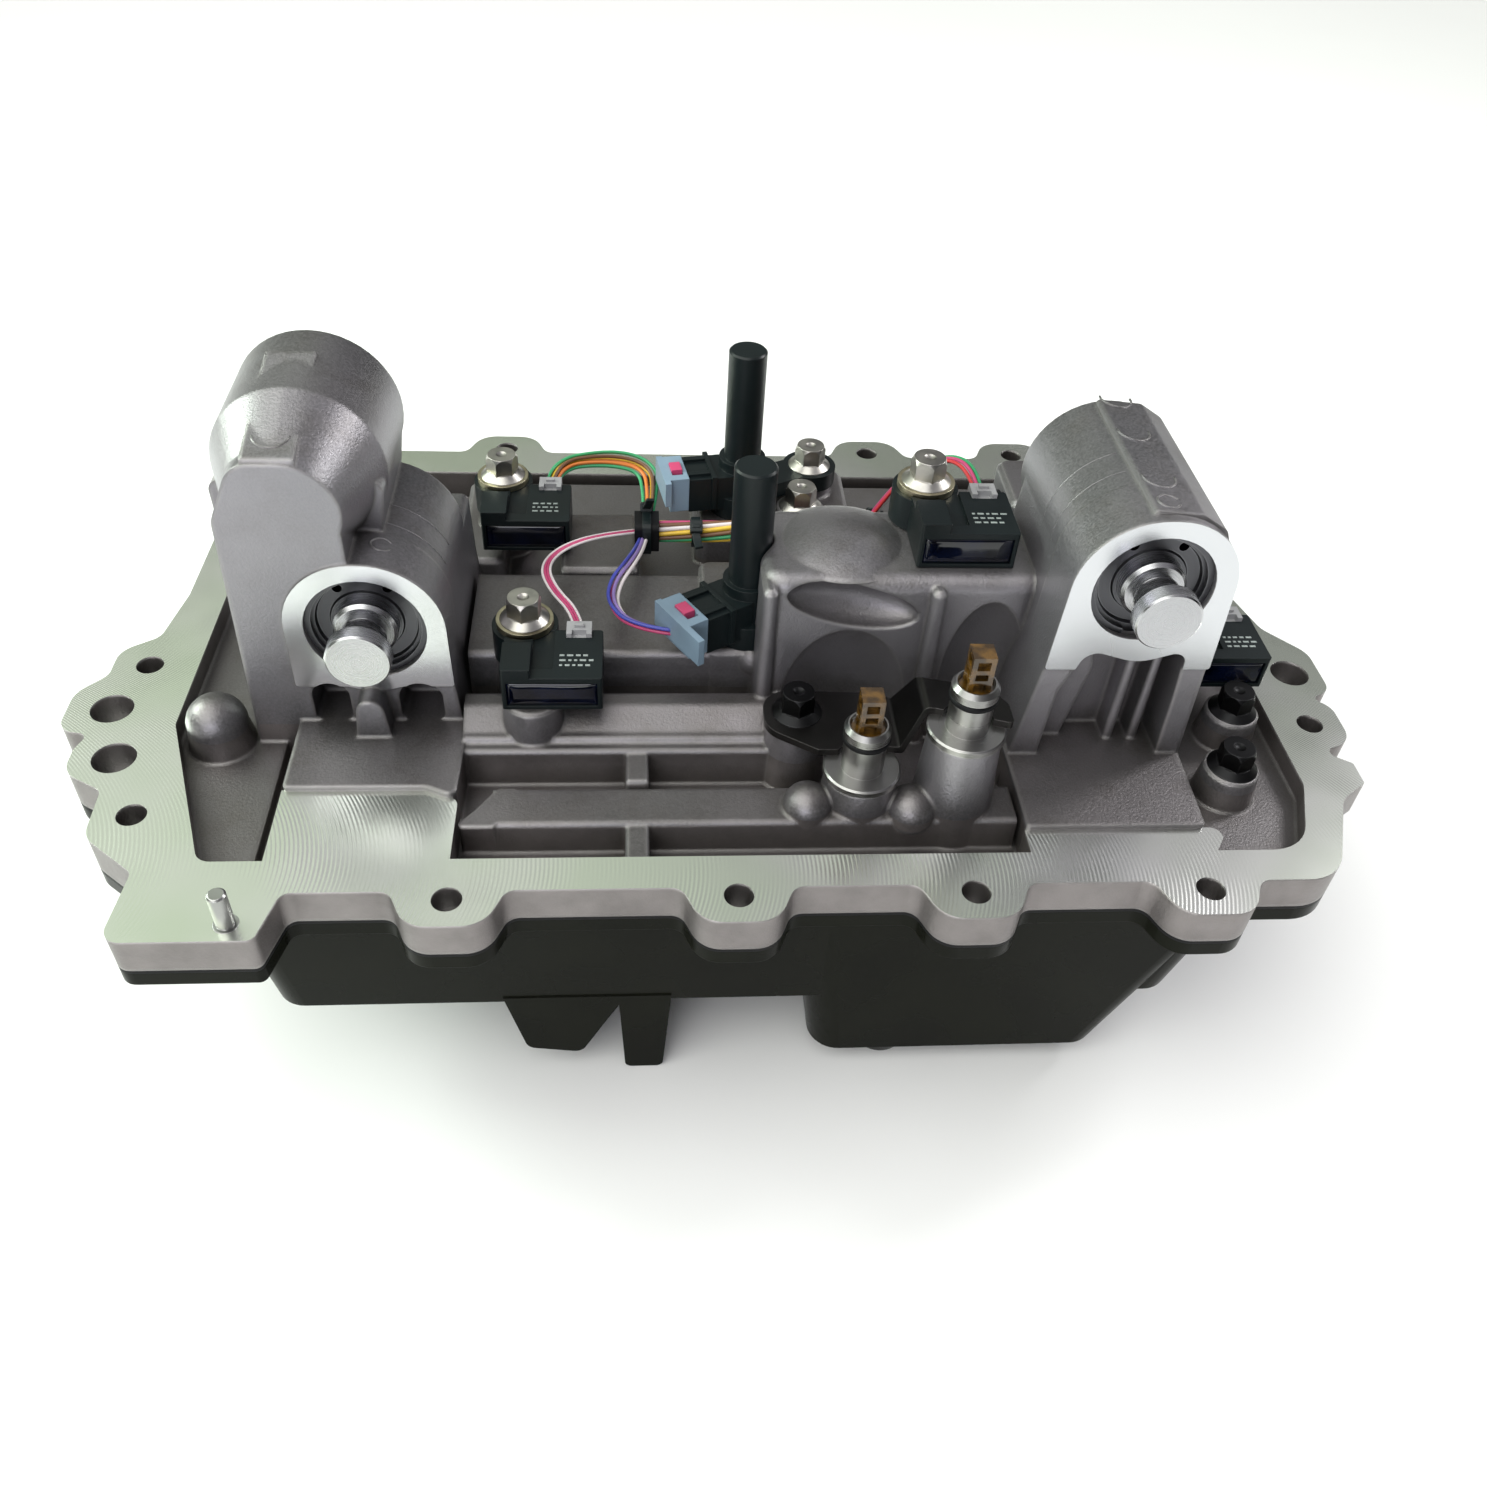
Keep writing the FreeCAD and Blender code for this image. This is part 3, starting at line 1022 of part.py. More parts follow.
def main_connector():
    """Round plug socket in the bottom of the cover: flanged shell with its pin carrier."""
    x, y = CONNECTOR_PLACE
    inner_top = SHALLOW_Z + COVER_WALL + 4
    shell = post(CONNECTOR_R - SEAT_GAP, x, y, FOOT_Z, inner_top)
    lip = post(CONNECTOR_R + 2.5, x, y, SHALLOW_Z + COVER_WALL, inner_top)
    hollow = post(CONNECTOR_R - 2.5, x, y, FOOT_Z - 1, FOOT_Z + 16)
    pins = []
    for ring_r, count in ((3.2, 4), (8.2, 9)):
        for i in range(count):
            a = 2 * math.pi * i / count
            px, py = x + ring_r * math.cos(a), y + ring_r * math.sin(a)
            pins.append(post(0.9, px, py, FOOT_Z + 5, FOOT_Z + 17))
    return fuse([fuse([shell, lip]).cut(hollow)] + pins)


# Harness

def lead_start(place):
    """Where a lead ends, a little inside the rear face of a position sensor's plug."""
    px, py = plug_corner(place)
    return px + PLUG_W / 2, py + PLUG_D - CORD_SINK, place[2] + PLUG_LOW + PLUG_H / 2


def speed_plug_end(place, turn):
    """Where a lead ends, a little inside the outer face of a speed sensor's plug."""
    reach = SOCKET_L + SEAT_GAP + SPEED_PLUG_L + STRIP_T - CORD_SINK
    a = math.radians(turn)
    return place[0] + reach * math.cos(a), place[1] + reach * math.sin(a), place[2] + 9


def routes():
    """Hand-chosen points of every cord, end to end, by node name."""
    jx, jy, jz = JOIN_WRAP
    ex, ey, ez = END_WRAP
    half = WRAP_L / 2 - CORD_SINK
    side = WRAP_HALF - CORD_SINK
    one = lead_start(SENSOR_PLACES[0])
    two = lead_start(SENSOR_PLACES[1])
    three = lead_start(SENSOR_PLACES[2])
    front = speed_plug_end(SPEED_PLACES[0], SPEED_TURNS[0])
    trunk = ((jx + half, jy, jz), (-3, 122.6, 15.4), (13, 122, 16.4), (28.4, 122.6, 16), (ex - half, ey, ez))
    conduit = ((ex + half, ey, ez), (62.5, 129.2, 17.4), (78, CONDUIT_END[0], CONDUIT_END[1]),
               (DUCT_X + GROMMET_SLEEVE + 2, CONDUIT_END[0], CONDUIT_END[1]))
    lead_1 = (one, (one[0] + 0.4, one[1] + 8, 20), (-41, 156.5, 20.5), (-29, 157, 19.5), (-21, 149, 18.4),
              (-19.6, 138, 16.6), (jx, jy + side, jz))
    lead_2 = (two, (two[0] - 1, two[1] + 7, 19.8), (-45, 88, 20.4), (-48, 99, 19.8), (-43.5, 109, 19),
              (-33.2, 117.4, 17.6), (jx - half, jy - 1, jz + 0.6))
    front_lead = ((jx - 1, jy - side, jz), (-21.9, 110.9, 17.8), (-24.6, 100.6, 20.2), (-28.6, 91, 21),
                  (-29.5, 81, 21), (-24, 71.8, 21), front)
    lead_3 = (three, (three[0], three[1] + 8, 50.6), (62, 107.5, 50), (57, 116, 43.6), (50, 123.2, 31.8),
              (ex - 1.4, ey, ez + side))
    return {"harness_trunk": (TRUNK_R, trunk), "harness_conduit": (CONDUIT_R, conduit),
            "sensor_lead_1": (LEAD_R, lead_1), "sensor_lead_2": (LEAD_R, lead_2),
            "sensor_lead_3": (LEAD_R, lead_3), "speed_lead_front": (LEAD_R, front_lead)}


def harness_wraps():
    """Two tape wraps: square blocks with bevelled corners, in line with the trunk."""
    shapes = []
    for x, y, z in (JOIN_WRAP, END_WRAP):
        h = WRAP_HALF
        corners = [(y - h, z - h, 1.6), (y + h, z - h, 1.6), (y + h, z + h, 1.6), (y - h, z + h, 1.6)]
        shapes.append(bar_x(corners, x - WRAP_L / 2, x + WRAP_L / 2))
    return Part.makeCompound(shapes)


def harness_grommet():
    """Rubber grommet in the duct's face, round the conduit."""
    y, z = CONDUIT_END
    collar = Part.makeCylinder(GROMMET_FLANGE_R, GROMMET_FLANGE_T, V(DUCT_X - GROMMET_FLANGE_T, y, z), X_AXIS)
    sleeve = Part.makeCylinder(GROMMET_R - SEAT_GAP, GROMMET_SLEEVE, V(DUCT_X, y, z), X_AXIS)
    bore = Part.makeCylinder(CONDUIT_R + SEAT_GAP, 30, V(DUCT_X - 10, y, z), X_AXIS)
    return collar.fuse(sleeve).cut(bore)


def cord(radius, points):
    """Tube along straight runs joined by tangent arcs; prints its radii and its volume."""
    points = [V(*p) for p in points]
    edges = []
    last = points[0]
    radii = []
    for i in range(1, len(points) - 1):
        back = points[i - 1] - points[i]
        ahead = points[i + 1] - points[i]
        shorter = min(back.Length, ahead.Length)
        back.normalize()
        ahead.normalize()
        turn = math.pi - math.acos(max(-1.0, min(1.0, back.dot(ahead))))
        reach = 0.45 * shorter
        arc_r = reach / math.tan(turn / 2)
        bisector = back + ahead
        bisector.normalize()
        start = points[i] + back * reach
        end = points[i] + ahead * reach
        middle = points[i] + bisector * (arc_r / math.cos(turn / 2) - arc_r)
        edges.append(Part.LineSegment(last, start).toShape())
        edges.append(Part.Arc(start, middle, end).toShape())
        radii.append(round(arc_r / (2 * radius), 1))
        last = end
    edges.append(Part.LineSegment(last, points[-1]).toShape())
    path = Part.Wire(edges)
    first = points[1] - points[0]
    ring = Part.Wire([Part.makeCircle(radius, points[0], first)])
    tube = path.makePipeShell([ring], True, False)
    section = math.pi * radius ** 2
    runs = [round((points[i + 1] - points[i]).Length, 1) for i in range(len(points) - 1)]
    print("  runs", runs, "radii in diameters", radii, "length", round(path.Length, 1),
          "volume ratio", round(tube.Volume / (section * path.Length), 4))
    return tube


def to_datum(shape):
    """Move a finished piece so that the centre of the corner bolts is the origin."""
    moved = shape.copy()
    moved.translate(V(-(CORNER_BOLT_X[0] + CORNER_BOLT_X[1]) / 2, -BOLT_ROW_SPAN / 2, 0))
    return moved


def write(name, shape):
    print(name, len(shape.Solids), "solid(s)", round(shape.Volume / 1000, 2), "cm3", shape.isValid())
    to_datum(shape).exportStep("parts/" + name + ".step")


def main():
    write("valve_housing", valve_housing())
    for name, axis, face, side in CYLINDERS:
        write("shift_piston_" + name, shift_piston(axis, face, side))
        write("piston_seal_" + name, piston_seal(axis, face, side))
        write("guide_disc_" + name, guide_disc(axis, face, side))
        write("snap_ring_" + name, snap_ring(axis, face, side))
    bolts = []
    washers = []
    for number, place in enumerate(SENSOR_PLACES, 1):
        write("position_sensor_%d" % number, position_sensor(place))
        write("sensor_plug_%d" % number, sensor_plug(place))
        x, y, top = sensor_bolt_at(place)
        washers.append(washer(x, y, top))
        length = BOLT_DEPTH + SENSOR_EAR_H + WASHER_T
        bolts.append(flange_bolt(x, y, top + WASHER_T, length, turn=12 * number))
    write("sensor_bolts", Part.makeCompound(bolts))
    write("sensor_washers", Part.makeCompound(washers))
    speed_bolts = []
    speed_sensors = zip(("front", "rear"), SPEED_PLACES, SPEED_EARS, SPEED_TURNS, STRIP_AHEAD)
    for name, place, ear, turn, ahead in speed_sensors:
        write("speed_sensor_" + name, speed_sensor(place, ear, turn))
        write("speed_plug_" + name, speed_plug(place, turn, ahead))
        write("plug_latch_" + name, plug_latch(place, turn))
        speed_bolts.append(flange_bolt(ear[0], ear[1], ear[2], BOLT_DEPTH + SPEED_EAR_H))
    write("speed_sensor_bolts", Part.makeCompound(speed_bolts))
    write("clamp_bolt", flange_bolt(*CLAMP_BOLT, BOLT_DEPTH))
    for number, place in enumerate(NOZZLE_PLACES, 1):
        write("nozzle_%d" % number, nozzle(place))
        write("nozzle_filter_%d" % number, nozzle_filter(place))
    write("nozzle_seals", Part.makeCompound([nozzle_seal(p) for p in NOZZLE_PLACES]))
    write("retaining_plate", retaining_plate())
    plate_top = NOZZLE_PLACES[0][2] + NOZZLE_DISC_T + PLATE_T
    write("plate_bolt", flange_bolt(PLATE_BOLT[0], PLATE_BOLT[1], plate_top, BOLT_DEPTH + PLATE_T, turn=30))
    pads = [flange_bolt(x, y, z, BOLT_DEPTH, turn=20) for x, y, z in PAD_BOLTS]
    write("pad_bolts", Part.makeCompound(pads))
    write("dowel_pin", dowel_pin())
    write("oil_cover", oil_cover())
    write("cover_gasket", cover_gasket())
    write("cover_screws", cover_screws())
    write("separator_plate", separator_plate())
    write("valve_block", valve_block())
    write("control_board", control_board())
    for number, (x, y) in enumerate(SOLENOID_PLACES, 1):
        write("solenoid_valve_%d" % number, solenoid_valve(x, y))
    write("main_connector", main_connector())
    write("harness_wraps", harness_wraps())
    write("harness_grommet", harness_grommet())
    for name, (radius, points) in routes().items():
        write(name, cord(radius, points))


main()
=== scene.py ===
import math
import random
import bmesh
import bpy
from mathutils import Matrix, Vector


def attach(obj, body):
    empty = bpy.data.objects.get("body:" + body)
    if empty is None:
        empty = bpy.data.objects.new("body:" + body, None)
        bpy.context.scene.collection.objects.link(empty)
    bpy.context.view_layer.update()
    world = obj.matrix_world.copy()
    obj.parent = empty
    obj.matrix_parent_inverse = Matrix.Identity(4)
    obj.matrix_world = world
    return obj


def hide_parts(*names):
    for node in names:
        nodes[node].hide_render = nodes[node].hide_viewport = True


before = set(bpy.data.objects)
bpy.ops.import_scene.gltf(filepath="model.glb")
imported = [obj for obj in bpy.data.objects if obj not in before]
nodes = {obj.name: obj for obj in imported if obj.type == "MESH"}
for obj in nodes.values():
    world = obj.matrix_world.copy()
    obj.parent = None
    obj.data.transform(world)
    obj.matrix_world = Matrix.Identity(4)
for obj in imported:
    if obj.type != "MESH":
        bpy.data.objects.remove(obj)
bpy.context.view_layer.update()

random.seed(7)


# Camera, as in the photograph

CAMERA_PLACE = (-0.01765, -0.2845, 0.22566)
CAMERA_RIGHT = Vector((0.996612, -0.062494, 0.053469))
CAMERA_UP = Vector((0.004155, 0.687539, 0.726136))
CAMERA_AHEAD = Vector((0.082141, 0.723454, -0.685469))

camera_data = bpy.data.cameras.new("camera")
camera_data.sensor_width = 36.0
camera_data.lens = 31.16
camera_data.clip_start = 0.01
camera = bpy.data.objects.new("camera", camera_data)
bpy.context.scene.collection.objects.link(camera)
camera_turn = Matrix((CAMERA_RIGHT, CAMERA_UP, -CAMERA_AHEAD)).transposed()
camera.matrix_world = Matrix.Translation(CAMERA_PLACE) @ camera_turn.to_4x4()
bpy.context.scene.camera = camera


# Materials

class Shader:
    """A Principled material built node by node."""

    SOCKETS = {"color": "Base Color", "metal": "Metallic", "rough": "Roughness", "coat": "Coat Weight",
               "coat_rough": "Coat Roughness", "spec": "Specular IOR Level",
               "through": "Transmission Weight"}
    # Sockets of a Mix node: factor and the two ends
    MIX_COLOURS = (0, 6, 7)
    MIX_VALUES = (0, 2, 3)

    def __init__(self, name):
        self.material = bpy.data.materials.new(name)
        self.material.use_nodes = True
        self.tree = self.material.node_tree
        self.bsdf = self.tree.nodes["Principled BSDF"]
        self.place = self.tree.nodes.new("ShaderNodeTexCoord")

    def feed(self, socket, value):
        """Link another node's output to a socket, or set it to a plain value or a colour."""
        if hasattr(value, "is_output"):
            self.tree.links.new(value, socket)
        else:
            socket.default_value = (*value, 1.0) if isinstance(value, tuple) else value

    def set(self, **values):
        for key, value in values.items():
            self.feed(self.bsdf.inputs[self.SOCKETS[key]], value)

    def node(self, kind, **values):
        n = self.tree.nodes.new(kind)
        for key, value in values.items():
            setattr(n, key, value)
        return n

    def link(self, a, b):
        self.tree.links.new(a, b)

    def noise(self, scale, detail=4.0, rough=0.6, distort=0.0):
        n = self.node("ShaderNodeTexNoise")
        settings = {"Scale": scale, "Detail": detail, "Roughness": rough, "Distortion": distort}
        for key, value in settings.items():
            n.inputs[key].default_value = value
        self.link(self.place.outputs["Object"], n.inputs["Vector"])
        return n.outputs["Fac"]

    def math(self, kind, a, b=0.0, c=0.0):
        n = self.node("ShaderNodeMath", operation=kind)
        for socket, value in zip(n.inputs, (a, b, c)):
            self.feed(socket, value)
        return n.outputs[0]

    def spread(self, value, low, high, to_low=0.0, to_high=1.0):
        """Maps low..high to to_low..to_high."""
        n = self.node("ShaderNodeMapRange")
        self.link(value, n.inputs["Value"])
        for key, v in (("From Min", low), ("From Max", high), ("To Min", to_low), ("To Max", to_high)):
            n.inputs[key].default_value = v
        return n.outputs["Result"]

    def mix(self, fac, a, b):
        """Mix of two colours."""
        n = self.node("ShaderNodeMix", data_type="RGBA")
        for index, value in zip(self.MIX_COLOURS, (fac, a, b)):
            self.feed(n.inputs[index], value)
        return n.outputs[2]

    def blend(self, fac, a, b):
        """Mix of two plain values."""
        n = self.node("ShaderNodeMix", data_type="FLOAT")
        for index, value in zip(self.MIX_VALUES, (fac, a, b)):
            self.feed(n.inputs[index], value)
        return n.outputs[0]

    def axis(self, output, index):
        n = self.node("ShaderNodeSeparateXYZ")
        self.link(self.place.outputs[output], n.inputs[0])
        return n.outputs[index]

    def flat_normal(self):
        return self.node("ShaderNodeNewGeometry").outputs["Normal"]

    def rounded_normal(self, radius, samples=3):
        """The normal that edges rounded by radius would have."""
        n = self.node("ShaderNodeBevel", samples=samples)
        n.inputs["Radius"].default_value = radius
        return n.outputs[0]

    def edge_mask(self, rounded, flat, start, full, most=1.0):
        """0 on plain faces, rising to most where the rounded normal leaves the flat one."""
        n = self.node("ShaderNodeVectorMath", operation="DOT_PRODUCT")
        self.link(rounded, n.inputs[0])
        self.link(flat, n.inputs[1])
        return self.spread(n.outputs["Value"], start, full, 0.0, most)

    def bump(self, height, strength, distance, normal=None):
        n = self.node("ShaderNodeBump")
        self.feed(n.inputs["Strength"], strength)
        n.inputs["Distance"].default_value = distance
        self.link(height, n.inputs["Height"])
        if normal is not None:
            self.link(normal, n.inputs["Normal"])
        self.link(n.outputs[0], self.bsdf.inputs["Normal"])


# Metres: rounding of cast edges, reach of the painted shade in hollows, levels of the flange's side
CAST_EDGE = 0.0015
HOLLOW_SHADE_REACH = 0.007
FLANGE_TOP, FLANGE_BOTTOM = -0.00005, -0.0101
FACE_MARGIN = 0.00008
SQUARE_ON = 0.98
SWIRL_CENTRE_Y = -0.088
FINE_EDGE = 0.0003


def shade(color, factor, lift=0.0, most=1.0):
    """The colour times a factor, lifted, with no channel above most."""
    return tuple(min(most, c * factor + lift) for c in color)


def cast_aluminium(machined_y=()):
    """As-cast grey with a blasted grain; bright and milled on the flange face and the ring faces."""
    s = Shader("cast_aluminium_%d" % len(bpy.data.materials))
    x, y, z = (s.axis("Object", i) for i in range(3))
    facing_up = s.axis("Normal", 2)
    machined = s.math("MULTIPLY", s.math("COMPARE", z, 0.0, FACE_MARGIN),
                      s.math("GREATER_THAN", facing_up, SQUARE_ON))
    facing_front = s.math("LESS_THAN", s.axis("Normal", 1), -SQUARE_ON)
    rings = None
    for level in machined_y:
        ring = s.math("MULTIPLY", s.math("COMPARE", y, level, FACE_MARGIN), facing_front)
        rings = ring if rings is None else s.math("MAXIMUM", rings, ring)
    if rings is not None:
        machined = s.math("MAXIMUM", machined, rings)
    flat = s.flat_normal()
    rounded = s.rounded_normal(CAST_EDGE)
    lighter_edge = s.edge_mask(rounded, flat, 0.99, 0.8)
    # Painted shade: hollows found by ambient occlusion are darkened
    hollow = s.node("ShaderNodeAmbientOcclusion", samples=3, only_local=True)
    hollow.inputs["Distance"].default_value = HOLLOW_SHADE_REACH
    painted_hollow_shade = s.spread(hollow.outputs["AO"], 0.9, 0.35)
    wall = s.math("LESS_THAN", s.math("ABSOLUTE", facing_up), 0.3)
    rim = s.math("MULTIPLY", s.math("LESS_THAN", z, FLANGE_TOP), s.math("GREATER_THAN", z, FLANGE_BOTTOM))
    rim = s.math("MULTIPLY", rim, wall)
    broad = s.noise(14, 3, 0.5)
    patch = s.noise(75, 4, 0.6)
    fine = s.noise(1500, 3, 0.7)
    cast = s.mix(s.spread(broad, 0.36, 0.64), (0.15, 0.152, 0.158), (0.28, 0.265, 0.28))
    cast = s.mix(s.spread(patch, 0.48, 0.72, 0.0, 0.5), cast, (0.1, 0.09, 0.075))
    cast = s.mix(s.spread(fine, 0.35, 0.7, 0.0, 0.35), cast, (0.4, 0.38, 0.4))
    # Painted shade: up-facing faces low down are darkened
    low = s.math("MULTIPLY", s.spread(facing_up, 0.5, 0.95), s.spread(z, 0.045, 0.01))
    cast = s.mix(s.math("MULTIPLY", low, 0.5), cast, (0.115, 0.102, 0.094))
    # Painted light: upright faces higher up are lightened to a pale lavender
    upright = s.spread(s.math("ABSOLUTE", facing_up), 0.6, 0.2)
    high = s.math("MULTIPLY", upright, s.spread(z, 0.0, 0.012))
    cast = s.mix(s.math("MULTIPLY", high, 0.5), cast, (0.36, 0.35, 0.385))
    sides = s.mix(s.spread(patch, 0.3, 0.7), (0.19, 0.17, 0.165), (0.29, 0.265, 0.26))
    cast = s.mix(s.math("MULTIPLY", rim, 0.85), cast, sides)
    # Painted highlight: rounded edges are lightened
    cast = s.mix(s.math("MULTIPLY", lighter_edge, 0.65), cast, (0.6, 0.58, 0.57))
    # Painted shade: hollows darkened towards near black
    cast = s.mix(s.math("MULTIPLY", painted_hollow_shade, 0.55), cast, (0.035, 0.03, 0.024))
    tint = s.mix(s.spread(broad, 0.4, 0.62), (0.68, 0.73, 0.63), (0.78, 0.77, 0.76))
    if rings is not None:
        tint = s.mix(rings, tint, (0.7, 0.71, 0.74))
    dull = s.spread(fine, 0.3, 0.7, 0.3, 0.46)
    s.set(color=s.mix(machined, cast, tint), metal=s.blend(machined, 0.8, 0.95),
          rough=s.blend(machined, dull, s.spread(broad, 0.3, 0.7, 0.2, 0.28)))
    bow = s.math("POWER", s.math("SUBTRACT", y, SWIRL_CENTRE_Y), 2.0)
    sweep_path = s.math("MULTIPLY_ADD", bow, 12.0, x)
    swirl = s.math("SINE", s.math("MULTIPLY", sweep_path, 6200.0))
    swirl = s.math("MULTIPLY", swirl, s.spread(s.noise(30, 2), 0.42, 0.62, 0.05, 0.8))
    if rings is not None:
        swirl = s.math("MULTIPLY", swirl, s.math("SUBTRACT", 1.0, rings))
    height = s.blend(machined, fine, s.math("MULTIPLY", swirl, 0.5))
    sharp = s.node("ShaderNodeMix", data_type="VECTOR")
    for index, value in ((0, machined), (4, rounded), (5, flat)):
        s.link(value, sharp.inputs[index])
    s.bump(height, s.blend(machined, 0.5, 0.2), 0.00022, sharp.outputs[1])
    return s.material


def turned(name, color, centre, along=1, rough=0.26):
    """Steel turned round an axis that runs along Y (1) or Z (2) through centre, with fine tool marks."""
    s = Shader(name)
    across = [i for i in range(3) if i != along]
    squares = [s.math("POWER", s.math("SUBTRACT", s.axis("Object", i), c), 2.0)
               for i, c in zip(across, centre)]
    radius = s.math("SQRT", s.math("ADD", *squares))
    rings = s.node("ShaderNodeCombineXYZ")
    s.link(radius, rings.inputs[0])
    s.link(s.axis("Object", along), rings.inputs[1])
    marks = s.node("ShaderNodeTexNoise")
    marks.inputs["Scale"].default_value = 2600
    marks.inputs["Detail"].default_value = 1.0
    s.link(rings.outputs[0], marks.inputs["Vector"])
    broad = s.noise(45, 2, 0.4)
    base = s.mix(s.spread(broad, 0.35, 0.65), shade(color, 0.88), color)
    # Painted highlight: edges and chamfers are lightened
    lighter_edge = s.edge_mask(s.rounded_normal(0.0003), s.flat_normal(), 0.995, 0.85, 0.7)
    base = s.mix(lighter_edge, base, shade(color, 1.8, 0.1, 0.8))
    s.set(color=base, metal=1.0, rough=s.spread(marks.outputs["Fac"], 0.3, 0.7, rough * 0.9, rough * 1.15))
    s.bump(marks.outputs["Fac"], 0.25, 0.00003)
    return s.material


def plain_steel(name, color, rough):
    """Smooth rolled or blackened steel, a little lighter at its edges."""
    s = Shader(name)
    broad = s.noise(55, 3, 0.5)
    base = s.mix(s.spread(broad, 0.35, 0.65), shade(color, 0.8), color)
    lighter_edge = s.edge_mask(s.rounded_normal(0.0004), s.flat_normal(), 0.995, 0.85, 0.6)
    base = s.mix(lighter_edge, base, shade(color, 2.5, 0.03, 0.8))
    s.set(color=base, metal=1.0, rough=s.spread(broad, 0.3, 0.7, rough * 0.85, rough * 1.2))
    s.bump(s.noise(700, 2, 0.5), 0.04, 0.00005, s.rounded_normal(FINE_EDGE, 4))
    return s.material


def moulded(name, color, rough=0.42, grain=1500, depth=0.14, spec=0.5):
    """Moulded plastic or rubber with a fine grain and small changes of tone."""
    s = Shader(name)
    fine = s.noise(grain, 3, 0.6)
    broad = s.noise(45, 3, 0.5)
    base = s.mix(s.spread(broad, 0.35, 0.65), shade(color, 0.8), shade(color, 1.2))
    s.set(color=base, spec=spec, rough=s.spread(broad, 0.3, 0.7, rough * 0.85, rough * 1.2))
    s.bump(fine, depth, 0.00012, s.rounded_normal(FINE_EDGE, 4))
    return s.material


def plated(name, light, dark, rough=0.32):
    """Zinc plate with cloudy colour."""
    s = Shader(name)
    cloud = s.noise(180, 3, 0.5, distort=0.4)
    s.set(color=s.mix(s.spread(cloud, 0.35, 0.65), dark, light), metal=1.0,
          rough=s.spread(cloud, 0.3, 0.7, rough * 0.9, rough * 1.2))
    s.bump(s.noise(900, 2), 0.04, 0.00006, s.rounded_normal(FINE_EDGE, 4))
    return s.material


def glossy(name, color, through=0.0, rough=0.06, spec=0.5, grain=150):
    """Poured resin or clear plastic."""
    s = Shader(name)
    ripple = s.noise(grain, 2, 0.4)
    base = s.mix(s.spread(ripple, 0.4, 0.6), shade(color, 0.3), color)
    s.set(color=base, rough=s.spread(ripple, 0.3, 0.7, rough, rough * 1.4), coat=0.5, coat_rough=0.04,
          through=through, spec=spec)
    s.bump(ripple, 0.15, 0.0003)
    return s.material


RING_FACES_Y = (-0.039, -0.0525)
BORES = {"left": (-0.08205, 0.0305), "right": (0.10065, 0.0536), "rear": (-0.09525, 0.0625)}
NOZZLE_AXES = ((0.03675, -0.0635), (0.06025, -0.064))

CAST = cast_aluminium(RING_FACES_Y)
CAST_INSIDE = cast_aluminium()
PISTON = {side: turned("piston_steel_" + side, (0.5, 0.5, 0.52), place) for side, place in BORES.items()}
GUIDE = {side: turned("guide_steel_" + side, (0.11, 0.11, 0.12), place, rough=0.34)
         for side, place in BORES.items()}
NOZZLE = [turned("nozzle_steel_%d" % i, (0.36, 0.355, 0.35), place, 2, 0.3)
          for i, place in enumerate(NOZZLE_AXES)]
STEEL = plain_steel("bright_steel", (0.42, 0.42, 0.41), 0.3)
PLATE = plain_steel("plate_steel", (0.045, 0.043, 0.042), 0.36)
ZINC = plated("zinc_plate", (0.52, 0.5, 0.46), (0.36, 0.35, 0.33))
YELLOW = plated("yellow_zinc", (0.58, 0.53, 0.38), (0.36, 0.32, 0.22), 0.34)
BLACK_STEEL = plain_steel("black_steel", (0.02, 0.02, 0.021), 0.38)
BLACK = moulded("black_plastic", (0.005, 0.009, 0.01), 0.36, spec=0.3)
COVER = moulded("cover_plastic", (0.0045, 0.005, 0.0025), 0.27, 900, 0.06, spec=0.08)
GREY = moulded("grey_plastic", (0.32, 0.32, 0.33), 0.4)
BLUE_GREY = moulded("blue_grey_plastic", (0.19, 0.27, 0.35), 0.38)
PINK = moulded("pink_plastic", (0.55, 0.06, 0.16), 0.35)
RUBBER = moulded("rubber", (0.007, 0.007, 0.008), 0.5, 1800, 0.2, spec=0.15)
BOARD = moulded("board", (0.015, 0.13, 0.05), 0.35)
AMBER = glossy("amber_plastic", (0.2, 0.1, 0.018), 0.4, 0.12, grain=320)
POTTING = glossy("potting", (0.002, 0.004, 0.016), spec=0.4)
MARK = moulded("mark_print", (0.3, 0.34, 0.33), 0.5, 2500, 0.05)
WIRES = {name: moulded("wire_" + name, color, 0.38, 3000, 0.05) for name, color in (
    ("yellow", (0.62, 0.4, 0.03)), ("orange", (0.6, 0.17, 0.03)), ("green", (0.03, 0.28, 0.11)),
    ("pink", (0.45, 0.05, 0.15)), ("white", (0.6, 0.55, 0.56)), ("blue", (0.05, 0.06, 0.34)),
    ("brown", (0.14, 0.065, 0.03)), ("red", (0.5, 0.035, 0.04)), ("purple", (0.22, 0.15, 0.38)),
    ("black", (0.012, 0.012, 0.012)))}


def four(name):
    return ["%s_%d" % (name, i) for i in range(1, 5)]


